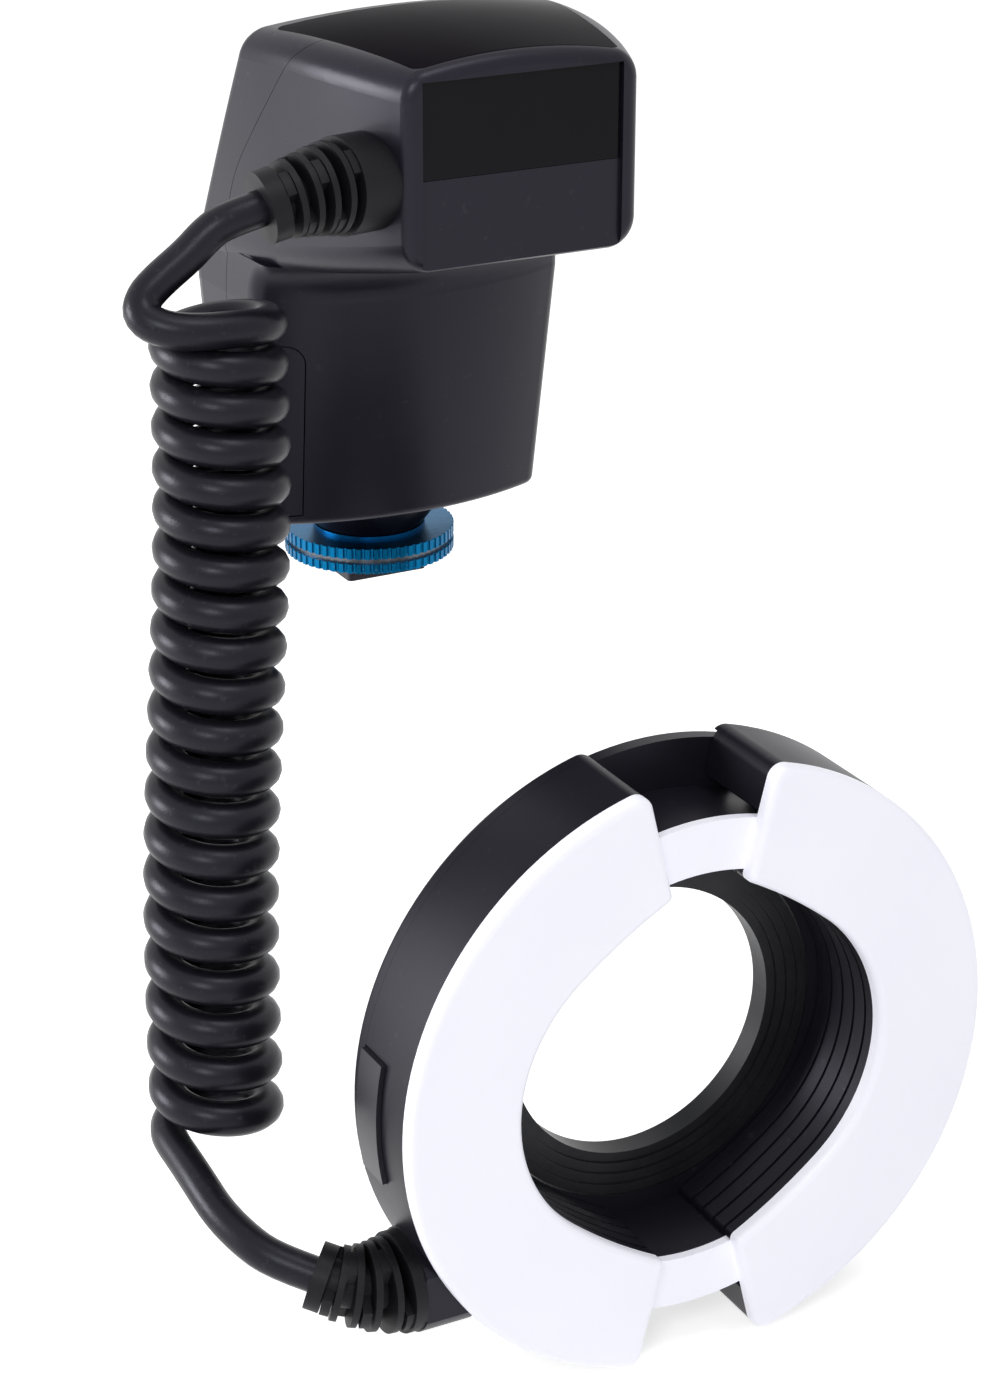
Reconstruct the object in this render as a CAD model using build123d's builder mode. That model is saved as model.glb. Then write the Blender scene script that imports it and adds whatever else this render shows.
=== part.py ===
from build123d import *
import math
import os

os.makedirs("parts", exist_ok=True)

# Millimetres. Origin at the middle of the shoe foot's underside, lens side towards -Y, +Z up.

# Shared clearances and overruns
run_gap = 0.3
seat_gap = 0.1
seam_gap = 0.15
overrun = 1.0
far_cut = 150.0
parallel_limit = 0.999

# Control unit, outer form
head_front_y = -70.7
unit_rear_y = 10.0
head_half_width = 36.6
head_top_z = 126.8
head_crown = 3.0
head_corner_radius = 6.0
head_front_radius = 3.0
rear_edge_radius = 3.0
case_wall = 2.0
slant_start_y = 9.5
slant_start_z = 69.5
slant_degrees = 27.7
# Head sections, front to rear: shares of depth, half width, top height and underside height
head_section_shares = (
    (0.0, 0.67, 0.990, 0.672),
    (0.235, 0.845, 0.999, 0.640),
    (0.505, 0.953, 1.0, 0.607),
    (1.03, 1.0, 0.955, 0.555),
)

# Neck of the control unit
neck_bottom_z = 19.3
neck_taper_z = 68.0
neck_top_z = 84.0
neck_bottom_half_width = 31.1
neck_top_half_width = 35.2
neck_rear_widening = 1.05
neck_bottom_front_y = -25.6
neck_top_front_y = -30.0
neck_bottom_corner_y = -18.65
neck_top_corner_y = -20.8
neck_front_corner_radius = 4.5
neck_rear_corner_radius = 6.0
neck_foot_radius = 1.8
neck_floor = 2.4
cove_radius = 9.0
# Steps of the cove under the head: shares of the cove radius, up and forward
cove_step_shares = ((0.0, 0.0), (0.4, 0.083), (0.7, 0.286), (0.88, 0.525), (0.97, 0.757))

# Seam between the front shell and the rear cover, seen from the side
seam_top_y = -41.0
seam_top_z = 124.4
seam_shoulder_y = -13.0
seam_shoulder_z = 92.0
seam_neck_y = -8.0
seam_neck_z = 69.4
seam_bend_radii = (40.0, 60.0)

# Clear window and glossy top panel
window_half_width = 21.5
window_bottom_z = 102.6
window_top_z = 121.5
window_thickness = 1.6
face_recess = 1.0
panel_front_half_width = 21.6
panel_rear_half_width = 31.0
panel_front_y = -68.4
panel_rear_y = -24.0
panel_thickness = 1.2
panel_corner_radius = 2.5

# Battery door
door_seam_x = -25.5
door_bottom_z = 21.9
door_top_z = 59.5
door_corner_radius = 4.0
door_gap = 0.25
hinge_y = 0.5
hinge_level_z = 40.0
barrel_radius = 2.2
hinge_pin_radius = 0.7
pin_fit = 0.06

# Cells and their magazine
cell_radius = 6.8
cell_length = 49.0
cell_pitch = 13.7
cell_nub_radius = 2.75
cell_nub_length = 1.5
magazine_cap_thickness = 1.5
magazine_cap_radius = 6.5
magazine_cap_inset = 1.0
magazine_rod_radius = 2.2
magazine_centre_x = -0.8
magazine_centre_y = -5.75
magazine_centre_z = 40.2

# Foot
foot_plate_width = 18.6
foot_plate_length = 18.2
foot_plate_height = 2.0
foot_neck_width = 12.3
foot_neck_top_z = 3.8
foot_column_radius = 8.0
collar_bottom_z = 10.5
collar_bottom_radius = 12.0
collar_top_side = 29.0
collar_top_radius = 5.0
wheel_radius = 18.5
wheel_bottom_z = 4.1
wheel_disc_height = 2.0
wheel_band_height = 1.2
wheel_upper_height = 2.3
wheel_hub_radius = 12.2
wheel_hub_height = 0.6
wheel_bore_gap = 0.1
wheel_notches = 60
notch_radius = 0.45
band_inset = 0.9
band_width = 2.2
lock_pin_radius = 1.1
lock_pin_y = -6.5
lock_pin_travel = 2.2
contact_radius = 0.8
contact_depth = 2.4


def write_piece(piece, label):
    """Label one finished piece and write it to its own file."""
    piece.part.label = label
    export_step(piece.part, f"parts/{label}.step")


def mix(low, high, share):
    """The value at a share of the way from low to high."""
    return low + (high - low) * share


# Outer and inner forms of the control unit's case
def head_form(inset):
    """The head: four crowned sections lofted from the window back."""
    depth = unit_rear_y - head_front_y
    with BuildPart() as form:
        for depth_share, width_share, top_share, under_share in head_section_shares:
            first = inset if depth_share == 0 else 0
            y = head_front_y + depth * depth_share + first
            half = head_half_width * width_share - inset
            top = head_top_z * top_share - inset
            under = head_top_z * under_share + inset
            shoulder = top - head_crown
            with BuildSketch(Plane(origin=(0, y, 0), x_dir=(1, 0, 0), z_dir=(0, -1, 0))):
                with BuildLine():
                    Polyline((-half, shoulder), (-half, under), (half, under), (half, shoulder))
                    ThreePointArc((half, shoulder), (0, top), (-half, shoulder))
                make_face()
                fillet(vertices(), radius=head_corner_radius - inset)
        loft()
        front_face = form.faces().sort_by(Axis.Y)[0]
        fillet(front_face.edges(), radius=head_front_radius - inset / 2)
    return form.part


def neck_outline(share, inset, forward):
    """One level of the neck: flat rear, plain sides and a bowed front."""
    half = mix(neck_bottom_half_width, neck_top_half_width, share) - inset
    rear_half = half + neck_rear_widening
    middle = mix(neck_bottom_front_y, neck_top_front_y, share) + inset - forward
    corner = mix(neck_bottom_corner_y, neck_top_corner_y, share) + inset - forward
    rear = unit_rear_y - inset
    with BuildSketch() as outline:
        with BuildLine():
            Polyline((half, corner), (rear_half, rear), (-rear_half, rear), (-half, corner))
            ThreePointArc((-half, corner), (0, middle), (half, corner))
        make_face()
        by_depth = outline.vertices().sort_by(Axis.Y)
        fillet(by_depth[:2], radius=neck_front_corner_radius)
        fillet(outline.vertices().sort_by(Axis.Y)[-2:], radius=neck_rear_corner_radius - inset)
    return outline.sketch


def neck_form(inset):
    """The neck, tapered below the head and running up inside it."""
    floor = neck_bottom_z + (neck_floor if inset > 0 else 0)
    floor_share = (floor - neck_bottom_z) / (neck_taper_z - neck_bottom_z)
    with BuildPart() as form:
        with BuildSketch(Plane.XY.offset(floor)):
            add(neck_outline(floor_share, inset, 0))
        with BuildSketch(Plane.XY.offset(neck_taper_z)):
            add(neck_outline(1, inset, 0))
        loft(ruled=True)
        with BuildSketch(Plane.XY.offset(neck_taper_z)):
            add(neck_outline(1, inset, 0))
        extrude(amount=neck_top_z - neck_taper_z)
    return form.part


def cove_form():
    """The cove that leads the neck's front into the head's underside."""
    with BuildPart() as form:
        for up_share, forward_share in cove_step_shares:
            level = neck_taper_z + overrun + cove_radius * up_share
            with BuildSketch(Plane.XY.offset(level)):
                add(neck_outline(1, 0, cove_radius * forward_share))
        loft()
    return form.part


def slant_plane(inset):
    """The sloping control face at the rear of the head."""
    tilt = math.radians(slant_degrees)
    normal = Vector(0, math.cos(tilt), math.sin(tilt))
    start = Vector(0, slant_start_y, slant_start_z) - normal * inset
    return Plane(origin=start, x_dir=(-1, 0, 0), z_dir=normal)


def case_form(inset):
    """Head and neck as one closed form, cut off by the sloping face."""
    with BuildPart() as form:
        add(head_form(inset))
        add(neck_form(inset))
        if inset == 0:
            add(cove_form())
        split(bisect_by=slant_plane(inset), keep=Keep.BOTTOM)
        if inset == 0:
            slope = form.faces().filter_by(lambda face: face.normal_at().dot(slant_plane(0).z_dir) > parallel_limit)
            fillet(slope.sort_by(SortBy.AREA)[-1].edges(), radius=rear_edge_radius)
            fillet(form.faces().sort_by(Axis.Z)[0].edges(), radius=neck_foot_radius)
    return form.part


outer_case = case_form(0)
inner_case = case_form(case_wall)

# Seam outline on the side view, shifted rearwards by a gap for the rear cover
def seam_region(shift):
    """Everything behind the seam, as a prism across the case."""
    points = [
        (seam_top_y - overrun + shift, far_cut),
        (seam_top_y + shift, seam_top_z),
        (seam_shoulder_y + shift, seam_shoulder_z),
        (seam_neck_y + shift, seam_neck_z),
        (seam_neck_y + shift, 0),
    ]
    with BuildPart() as region:
        with BuildSketch(Plane.YZ):
            with BuildLine():
                Line(points[0], points[1])
                FilletPolyline(points[1:], radius=seam_bend_radii)
                Polyline(points[-1], (far_cut, 0), (far_cut, far_cut), points[0])
            make_face()
        extrude(amount=head_half_width * 2, both=True)
    return region.part


# Door frame: the hinge axis leans with the neck's tapered side
hinge_depth_share = 0.7
taper_height = neck_taper_z - neck_bottom_z
side_slope = (neck_top_half_width - neck_bottom_half_width) / taper_height
side_share = (hinge_level_z - neck_bottom_z) / taper_height
hinge_side = mix(neck_bottom_half_width, neck_top_half_width, side_share) + neck_rear_widening * hinge_depth_share
hinge_axis = Vector(-side_slope, 0, 1).normalized()
hinge_x = barrel_radius - hinge_side
hinge_plane = Plane(origin=(hinge_x, hinge_y, hinge_level_z), x_dir=(0, 1, 0), z_dir=hinge_axis)
barrel_low = (door_bottom_z - hinge_level_z) + (door_seam_x - hinge_x) * -side_slope
barrel_high = (door_top_z - hinge_level_z) + (door_seam_x - hinge_x) * -side_slope


def door_region(gap, rear_reach):
    """The corner of the neck that the battery door fills, seen from the front."""
    reach = head_half_width
    drop = reach * side_slope
    low = door_bottom_z - gap
    high = door_top_z + gap
    seam = door_seam_x + gap
    with BuildPart() as region:
        with BuildSketch(Plane.XZ.offset(-hinge_y - rear_reach)) as outline:
            with BuildLine():
                Polyline((seam - reach, low - drop), (seam, low), (seam, high),
                         (seam - reach, high - drop), close=True)
            make_face()
            corner = outline.vertices().sort_by(Axis.X)[-2:].sort_by(Axis.Y)[-1]
            fillet(corner, radius=door_corner_radius + gap)
        extrude(amount=far_cut)
    return region.part


# Control face on the slope: places are measured from its lower edge
display_width = 44.0
display_height = 20.0
display_centre_up = 38.0
display_ledge = 2.5
display_glass = 1.0
display_module = 1.4
dial_up = 13.5
dial_radius = 10.5
dial_bore_radius = 5.0
dial_recess = 1.2
dial_proud = 2.0
dial_notches = 30
set_radius = 4.6
set_proud = 1.4
stem_radius = 2.0
button_radius = 3.6
button_side = 22.0
button_low_up = 8.0
button_high_up = 19.0
button_proud = 0.9
button_flange = 0.7
button_flange_height = 0.8
button_travel = 0.5
board_depth = 6.0
board_thickness = 1.6
board_width = 54.0
board_height = 46.0
board_centre_up = 29.0
boss_radius = 2.5
boss_inset = 4.0
switch_side = 6.0
switch_gap = 0.3
screw_radius = 1.4
screw_head_radius = 2.6
screw_head_height = 1.6
case_screw_x = 28.0
case_screw_z = 64.3
case_screw_reach = 16.0
case_boss_radius = 3.2
rear_boss_radius = 4.2
rear_boss_depth = 2.0
radio_board_width = 42.0
radio_board_height = 21.0
radio_board_gap = 2.2
radio_board_z = 108.5
radio_boss_x = 18.0
radio_boss_z = 100.0
emitter_radius = 2.4
emitter_height = 1.2
emitter_x = 9.0
capacitor_radius = 10.0
capacitor_length = 40.0
capacitor_up = 35.0
transformer_size = (16.0, 14.0, 12.0)
transformer_place = (17.0, 13.0)
foot_screw_x = 8.5
foot_screw_front_y = -11.0
foot_screw_rear_y = 4.0
foot_screw_reach = 5.0

slope = slant_plane(0)
foot_screw_places = [(x, y) for x in (-foot_screw_x, foot_screw_x)
                     for y in (foot_screw_front_y, foot_screw_rear_y)]
button_places = {
    "lamp_button": (button_side, button_high_up),
    "power_button": (-button_side, button_low_up),
    "test_button": (-button_side, button_high_up),
}


def slope_offset(depth):
    """The control face's plane, moved inwards by a depth."""
    return slope.offset(-depth)


front_wall_y = head_front_y + case_wall
radio_face_y = front_wall_y + radio_board_gap
window_middle_z = (window_bottom_z + window_top_z) / 2
window_height = window_top_z - window_bottom_z
pocket_y = head_front_y + face_recess
board_corner_x = board_width / 2 - boss_inset
rear_boss_end = unit_rear_y - case_wall - rear_boss_depth


def panel_outline(margin):
    """Plan outline of the glossy panel on top of the head."""
    front = panel_front_y - margin
    rear = panel_rear_y + margin
    front_half = panel_front_half_width + margin
    rear_half = panel_rear_half_width + margin
    with BuildSketch() as outline:
        with BuildLine():
            Polyline((front_half, front), (rear_half, rear), (-rear_half, rear),
                     (-front_half, front), close=True)
        make_face()
        fillet(outline.vertices(), radius=panel_corner_radius)
    return outline.sketch


def front_wedge(margin):
    """The recessed middle of the head's face, between its two cheeks."""
    with BuildPart() as wedge:
        with BuildSketch(Plane.XZ.offset(-head_front_y + overrun)):
            with Locations((0, mix(neck_top_z, window_top_z, 0.5))):
                Rectangle((window_half_width + margin) * 2, window_top_z - neck_top_z + margin * 2)
        extrude(amount=-face_recess - overrun)
    return wedge.part


def top_skin(thickness, margin):
    """The outermost layer of the head's top, inside the panel's outline."""
    with BuildPart() as skin:
        with BuildSketch(Plane.XY.offset(window_middle_z)):
            add(panel_outline(margin))
        extrude(amount=far_cut)
        add(outer_case, mode=Mode.INTERSECT)
        add(head_form(thickness), mode=Mode.SUBTRACT)
    return skin.part


# Front shell: face, underside, sides and the front of the neck
with BuildPart() as front_shell:
    add(outer_case)
    add(inner_case, mode=Mode.SUBTRACT)
    add(seam_region(0), mode=Mode.SUBTRACT)
    add(front_wedge(0), mode=Mode.SUBTRACT)
    add(top_skin(panel_thickness + seat_gap, seat_gap), mode=Mode.SUBTRACT)
    with BuildSketch(Plane.XZ.offset(-pocket_y)):
        with Locations((0, window_middle_z)):
            Rectangle(window_half_width * 2, window_height)
    extrude(amount=-window_thickness - seat_gap, mode=Mode.SUBTRACT)
    with BuildSketch(Plane.XZ.offset(-pocket_y)):
        with Locations((0, window_middle_z)):
            Rectangle((window_half_width - case_wall) * 2, window_height - case_wall * 2)
    extrude(amount=-case_wall * 2, mode=Mode.SUBTRACT)
    with BuildSketch(Plane.XZ.offset(-front_wall_y)):
        with Locations((radio_boss_x, radio_boss_z), (-radio_boss_x, radio_boss_z)):
            Circle(boss_radius)
    extrude(amount=-radio_board_gap)
    with BuildSketch(Plane.XZ.offset(-rear_boss_end + seat_gap)):
        with Locations((case_screw_x, case_screw_z), (-case_screw_x, case_screw_z)):
            Circle(case_boss_radius)
            Circle(screw_radius + seat_gap, mode=Mode.SUBTRACT)
    extrude(until=Until.NEXT, target=front_shell.part)
    add(door_region(door_gap, barrel_radius + run_gap), mode=Mode.SUBTRACT)
    with BuildSketch(Plane.XY.offset(neck_bottom_z)):
        with Locations(*foot_screw_places):
            Circle(screw_radius + seat_gap)
    extrude(amount=neck_floor + overrun, mode=Mode.SUBTRACT)


# Rear cover: rear of the neck, the slope with its controls, and the rear of the head
with BuildPart() as rear_cover:
    add(outer_case)
    add(inner_case, mode=Mode.SUBTRACT)
    add(seam_region(seam_gap), mode=Mode.INTERSECT)
    add(top_skin(panel_thickness + seat_gap, seat_gap), mode=Mode.SUBTRACT)
    with BuildSketch(Plane.XY.offset(neck_bottom_z)):
        with Locations(*foot_screw_places):
            Circle(screw_radius + seat_gap)
    extrude(amount=neck_floor + overrun, mode=Mode.SUBTRACT)
    with BuildSketch(slope):
        with Locations((0, display_centre_up)):
            Rectangle(display_width + seat_gap * 2, display_height + seat_gap * 2)
    extrude(amount=-display_glass, mode=Mode.SUBTRACT)
    with BuildSketch(slope):
        with Locations((0, display_centre_up)):
            Rectangle(display_width - display_ledge * 2, display_height - display_ledge * 2)
        with Locations((0, dial_up)):
            Circle(set_radius + run_gap)
        with Locations(*button_places.values()):
            Circle(button_radius + run_gap)
    extrude(amount=-case_wall * 2, mode=Mode.SUBTRACT)
    with BuildSketch(slope):
        with Locations((0, dial_up)):
            Circle(dial_radius + run_gap)
    extrude(amount=-dial_recess, mode=Mode.SUBTRACT)
    with BuildSketch(slope_offset(case_wall)):
        with Locations((0, display_centre_up)):
            with GridLocations(board_corner_x * 2, display_height, 2, 2):
                Circle(boss_radius)
    extrude(amount=case_wall - board_depth)
    with BuildSketch(Plane.XZ.offset(case_wall - unit_rear_y)):
        with Locations((case_screw_x, case_screw_z), (-case_screw_x, case_screw_z)):
            Circle(rear_boss_radius)
    extrude(amount=rear_boss_depth)
    with BuildSketch(Plane.XZ.offset(-unit_rear_y)):
        with Locations((case_screw_x, case_screw_z), (-case_screw_x, case_screw_z)):
            Circle(screw_head_radius + seat_gap)
    extrude(amount=screw_head_height + seat_gap, mode=Mode.SUBTRACT)
    with BuildSketch(Plane.XZ.offset(-unit_rear_y)):
        with Locations((case_screw_x, case_screw_z), (-case_screw_x, case_screw_z)):
            Circle(screw_radius + seat_gap)
    extrude(amount=case_wall + rear_boss_depth, mode=Mode.SUBTRACT)
    add(door_region(door_gap, barrel_radius + run_gap), mode=Mode.SUBTRACT)

# Glossy panel let into the head's top
with BuildPart() as top_panel:
    add(top_skin(panel_thickness, 0))

# Dark window in the face, between the cheeks
with BuildPart() as transceiver_window:
    with BuildSketch(Plane.XZ.offset(-pocket_y)):
        with Locations((0, window_middle_z)):
            Rectangle((window_half_width - seat_gap) * 2, window_height - seat_gap * 2)
    extrude(amount=-window_thickness)

# Battery door, wrapped round the neck's corner, with a barrel along its rear edge
with BuildPart() as battery_door:
    add(outer_case)
    add(inner_case, mode=Mode.SUBTRACT)
    add(door_region(0, 0), mode=Mode.INTERSECT)
    with BuildSketch(hinge_plane.offset(barrel_low)):
        Circle(barrel_radius)
    extrude(amount=barrel_high - barrel_low)
    with BuildSketch(hinge_plane.offset(barrel_low - overrun)):
        Circle(hinge_pin_radius + pin_fit)
    extrude(amount=barrel_high - barrel_low + overrun * 2, mode=Mode.SUBTRACT)

# Pin that the battery door turns on
with BuildPart() as door_hinge_pin:
    with BuildSketch(hinge_plane.offset(barrel_low - door_gap / 2)):
        Circle(hinge_pin_radius)
    extrude(amount=barrel_high - barrel_low + door_gap)

# Cells, lying across the neck two by two
cell_middle = Plane(origin=(magazine_centre_x, magazine_centre_y, magazine_centre_z), x_dir=(0, 1, 0), z_dir=(1, 0, 0))
with BuildPart() as battery_cells:
    with BuildSketch(cell_middle.offset(-cell_length / 2)):
        with GridLocations(cell_pitch, cell_pitch, 2, 2):
            Circle(cell_radius)
    extrude(amount=cell_length)
    with BuildSketch(cell_middle.offset(cell_length / 2)):
        with GridLocations(cell_pitch, cell_pitch, 2, 2):
            Circle(cell_nub_radius)
    extrude(amount=cell_nub_length)

# Magazine: two end caps on a middle rod, with two rails in the grooves between the cells
cap_side = cell_pitch + (cell_radius - magazine_cap_inset) * 2
cap_rear_x = cell_length / 2 + cell_nub_length + seat_gap
rail_side = cell_pitch - cell_radius
with BuildPart() as battery_magazine:
    for start in (-cell_length / 2 - seat_gap - magazine_cap_thickness, cap_rear_x):
        with BuildSketch(cell_middle.offset(start)):
            RectangleRounded(cap_side, cap_side, magazine_cap_radius)
        extrude(amount=magazine_cap_thickness)
    with BuildSketch(cell_middle.offset(-cell_length / 2 - seat_gap)):
        Circle(magazine_rod_radius)
        with Locations((0, cell_pitch / 2 + cell_radius), (0, -cell_pitch / 2 - cell_radius)):
            Rectangle(cell_pitch - cell_radius, rail_side, align=Align.CENTER)
        with GridLocations(cell_pitch, cell_pitch, 2, 2):
            Circle(cell_radius + seat_gap, mode=Mode.SUBTRACT)
        with Locations((0, 0)):
            RectangleRounded(cap_side, cap_side, magazine_cap_radius, mode=Mode.INTERSECT)
    extrude(amount=cap_rear_x + cell_length / 2 + seat_gap)

# Contact plates on the far side of the battery bay
contact_x = cap_rear_x + magazine_cap_thickness + seat_gap
contact_plate = (1.0, 8.0, 6.0)
with BuildPart() as battery_contacts:
    with BuildSketch(cell_middle.offset(contact_x)):
        with GridLocations(0, cell_pitch, 1, 2):
            Rectangle(contact_plate[1], contact_plate[2])
    extrude(amount=contact_plate[0])

# Main board behind the slope, with a switch under each button and the set button
with BuildPart() as main_board:
    with BuildSketch(slope_offset(board_depth + board_thickness)):
        with Locations((0, board_centre_up)):
            Rectangle(board_width, board_height)
    extrude(amount=board_thickness)
    with BuildSketch(slope_offset(board_depth)):
        with Locations((0, dial_up), *button_places.values()):
            Rectangle(switch_side, switch_side)
    extrude(amount=board_depth - case_wall - button_flange_height - seat_gap - button_travel - switch_gap)

# Flash capacitor and converter transformer on the board's front side
board_front = board_depth + board_thickness
with BuildPart() as main_capacitor:
    with BuildSketch(Plane.YZ.offset(-capacitor_length / 2)):
        centre = slope_offset(board_front + capacitor_radius + seat_gap).from_local_coords((0, capacitor_up, 0))
        with Locations((centre.Y, centre.Z)):
            Circle(capacitor_radius)
    extrude(amount=capacitor_length)
    fillet(main_capacitor.edges(), radius=overrun)

with BuildPart() as transformer:
    with BuildSketch(slope_offset(board_front)):
        with Locations(transformer_place):
            Rectangle(transformer_size[0], transformer_size[1])
    extrude(amount=-transformer_size[2])

# Radio board with two infrared emitters, behind the dark window
with BuildPart() as radio_board:
    with BuildSketch(Plane.XZ.offset(-radio_face_y)):
        with Locations((0, radio_board_z)):
            Rectangle(radio_board_width, radio_board_height)
    extrude(amount=-board_thickness)
    with BuildSketch(Plane.XZ.offset(-radio_face_y)):
        with Locations((emitter_x, radio_board_z), (-emitter_x, radio_board_z)):
            Circle(emitter_radius)
    extrude(amount=emitter_height)

# Screws that hold the rear cover to the bosses of the front shell
with BuildPart() as case_screws:
    with BuildSketch(Plane.XZ.offset(screw_head_height - unit_rear_y)):
        with Locations((case_screw_x, case_screw_z), (-case_screw_x, case_screw_z)):
            Circle(screw_head_radius)
    extrude(amount=-screw_head_height)
    with BuildSketch(Plane.XZ.offset(screw_head_height - unit_rear_y)):
        with Locations((case_screw_x, case_screw_z), (-case_screw_x, case_screw_z)):
            Circle(screw_radius)
    extrude(amount=case_screw_reach)

# Screws that hold the foot's collar to the neck's floor
foot_screw_top_z = neck_bottom_z + neck_floor
foot_screw_head_height = 1.2
with BuildPart() as foot_screws:
    with BuildSketch(Plane.XY.offset(foot_screw_top_z)):
        with Locations(*foot_screw_places):
            Circle(screw_head_radius)
    extrude(amount=foot_screw_head_height)
    with BuildSketch(Plane.XY.offset(foot_screw_top_z)):
        with Locations(*foot_screw_places):
            Circle(screw_radius)
    extrude(amount=-foot_screw_reach)

# Display glass flush in the slope, with its module behind the ledge
with BuildPart() as display_window:
    with BuildSketch(slope_offset(display_glass)):
        with Locations((0, display_centre_up)):
            Rectangle(display_width, display_height)
    extrude(amount=display_glass)

with BuildPart() as display_panel:
    with BuildSketch(slope_offset(case_wall)):
        with Locations((0, display_centre_up)):
            Rectangle(display_width - display_ledge * 2 + overrun, display_height - display_ledge)
    extrude(amount=-display_module)

# Control dial: a notched ring in its recess, round the set button
with BuildPart() as control_dial:
    with BuildSketch(slope_offset(dial_recess - seat_gap)):
        with Locations((0, dial_up)):
            Circle(dial_radius)
            with PolarLocations(dial_radius, dial_notches):
                Circle(notch_radius, mode=Mode.SUBTRACT)
            Circle(dial_bore_radius, mode=Mode.SUBTRACT)
    extrude(amount=dial_recess - seat_gap + dial_proud)

# Buttons on the slope: a cap, and a flange that stays behind the wall
button_edge_radius = 0.3


def button(places, radius, proud):
    """Round push button caps with their flanges."""
    under = case_wall + seat_gap + button_flange_height
    with BuildPart() as caps:
        with BuildSketch(slope_offset(under)):
            with Locations(*places):
                Circle(radius + button_flange)
        extrude(amount=button_flange_height)
        with BuildSketch(slope_offset(under)):
            with Locations(*places):
                Circle(radius)
        extrude(amount=under + proud)
        top = caps.faces().sort_by(Axis(slope.origin, slope.z_dir))[-1]
        fillet(top.edges(), radius=button_edge_radius)
    return caps


set_button = button([(0, dial_up)], set_radius, set_proud)
small_buttons = {name: button([place], button_radius, button_proud) for name, place in button_places.items()}

# Foot: a collar under the neck, then the shoe foot with its contacts and locking pin
collar_top_depth = collar_top_side - (collar_top_side / 2 - unit_rear_y + case_wall)
collar_top_y = (unit_rear_y - case_wall) - collar_top_depth / 2
with BuildPart() as foot_collar:
    with BuildSketch(Plane.XY.offset(collar_bottom_z)):
        RectangleRounded(collar_bottom_radius * 2, collar_bottom_radius * 2, collar_bottom_radius - seat_gap)
    with BuildSketch(Plane.XY.offset(neck_bottom_z)):
        with Locations((0, collar_top_y)):
            RectangleRounded(collar_top_side, collar_top_depth, collar_top_radius)
    loft()
    with BuildSketch(Plane.XY.offset(neck_bottom_z)):
        with Locations(*foot_screw_places):
            Circle(screw_radius + seat_gap)
    extrude(amount=neck_floor - foot_screw_reach - seat_gap, mode=Mode.SUBTRACT)

contact_places = [(0, 1.8), (-4.0, 4.5), (4.0, 4.5), (-4.0, -3.0), (4.0, -3.0)]
with BuildPart() as shoe_foot:
    with BuildSketch(Plane.XY):
        RectangleRounded(foot_plate_width, foot_plate_length, overrun)
    extrude(amount=foot_plate_height)
    with BuildSketch(Plane.XY):
        RectangleRounded(foot_neck_width, foot_plate_length, overrun)
    extrude(amount=foot_neck_top_z)
    with BuildSketch(Plane.XY.offset(foot_neck_top_z)):
        Circle(foot_column_radius)
    extrude(amount=collar_bottom_z - foot_neck_top_z)
    with BuildSketch(Plane.XY):
        with Locations((0, lock_pin_y)):
            Circle(lock_pin_radius + seat_gap)
    extrude(amount=collar_bottom_z, mode=Mode.SUBTRACT)
    with BuildSketch(Plane.XY):
        with Locations(*contact_places):
            Circle(contact_radius + seat_gap)
    extrude(amount=contact_depth, mode=Mode.SUBTRACT)

with BuildPart() as foot_contacts:
    with BuildSketch(Plane.XY.offset(seat_gap)):
        with Locations(*contact_places):
            Circle(contact_radius)
    extrude(amount=contact_depth - seat_gap)

with BuildPart() as locking_pin:
    with BuildSketch(Plane.XY.offset(seat_gap)):
        with Locations((0, lock_pin_y)):
            Circle(lock_pin_radius)
    extrude(amount=collar_bottom_z - seat_gap * 2)

# Lock wheel: two notched discs round a plain band, with a raised hub
wheel_bore = foot_column_radius + wheel_bore_gap
wheel_band_z = wheel_bottom_z + wheel_disc_height
wheel_upper_z = wheel_band_z + wheel_band_height
wheel_top_z = wheel_upper_z + wheel_upper_height
band_outer = wheel_radius - band_inset
with BuildPart() as lock_wheel:
    for level, height in ((wheel_bottom_z, wheel_disc_height), (wheel_upper_z, wheel_upper_height)):
        with BuildSketch(Plane.XY.offset(level)):
            Circle(wheel_radius)
            with PolarLocations(wheel_radius, wheel_notches):
                Circle(notch_radius, mode=Mode.SUBTRACT)
        extrude(amount=height)
    with BuildSketch(Plane.XY.offset(wheel_bottom_z)):
        Circle(band_outer - band_width)
    extrude(amount=wheel_top_z - wheel_bottom_z)
    with BuildSketch(Plane.XY.offset(wheel_top_z)):
        Circle(wheel_hub_radius)
    extrude(amount=wheel_hub_height)
    with BuildSketch(Plane.XY.offset(wheel_bottom_z)):
        Circle(wheel_bore)
    extrude(amount=far_cut, mode=Mode.SUBTRACT)

with BuildPart() as lock_wheel_band:
    with BuildSketch(Plane.XY.offset(wheel_band_z)):
        Circle(band_outer)
        Circle(band_outer - band_width, mode=Mode.SUBTRACT)
    extrude(amount=wheel_band_height)


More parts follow.
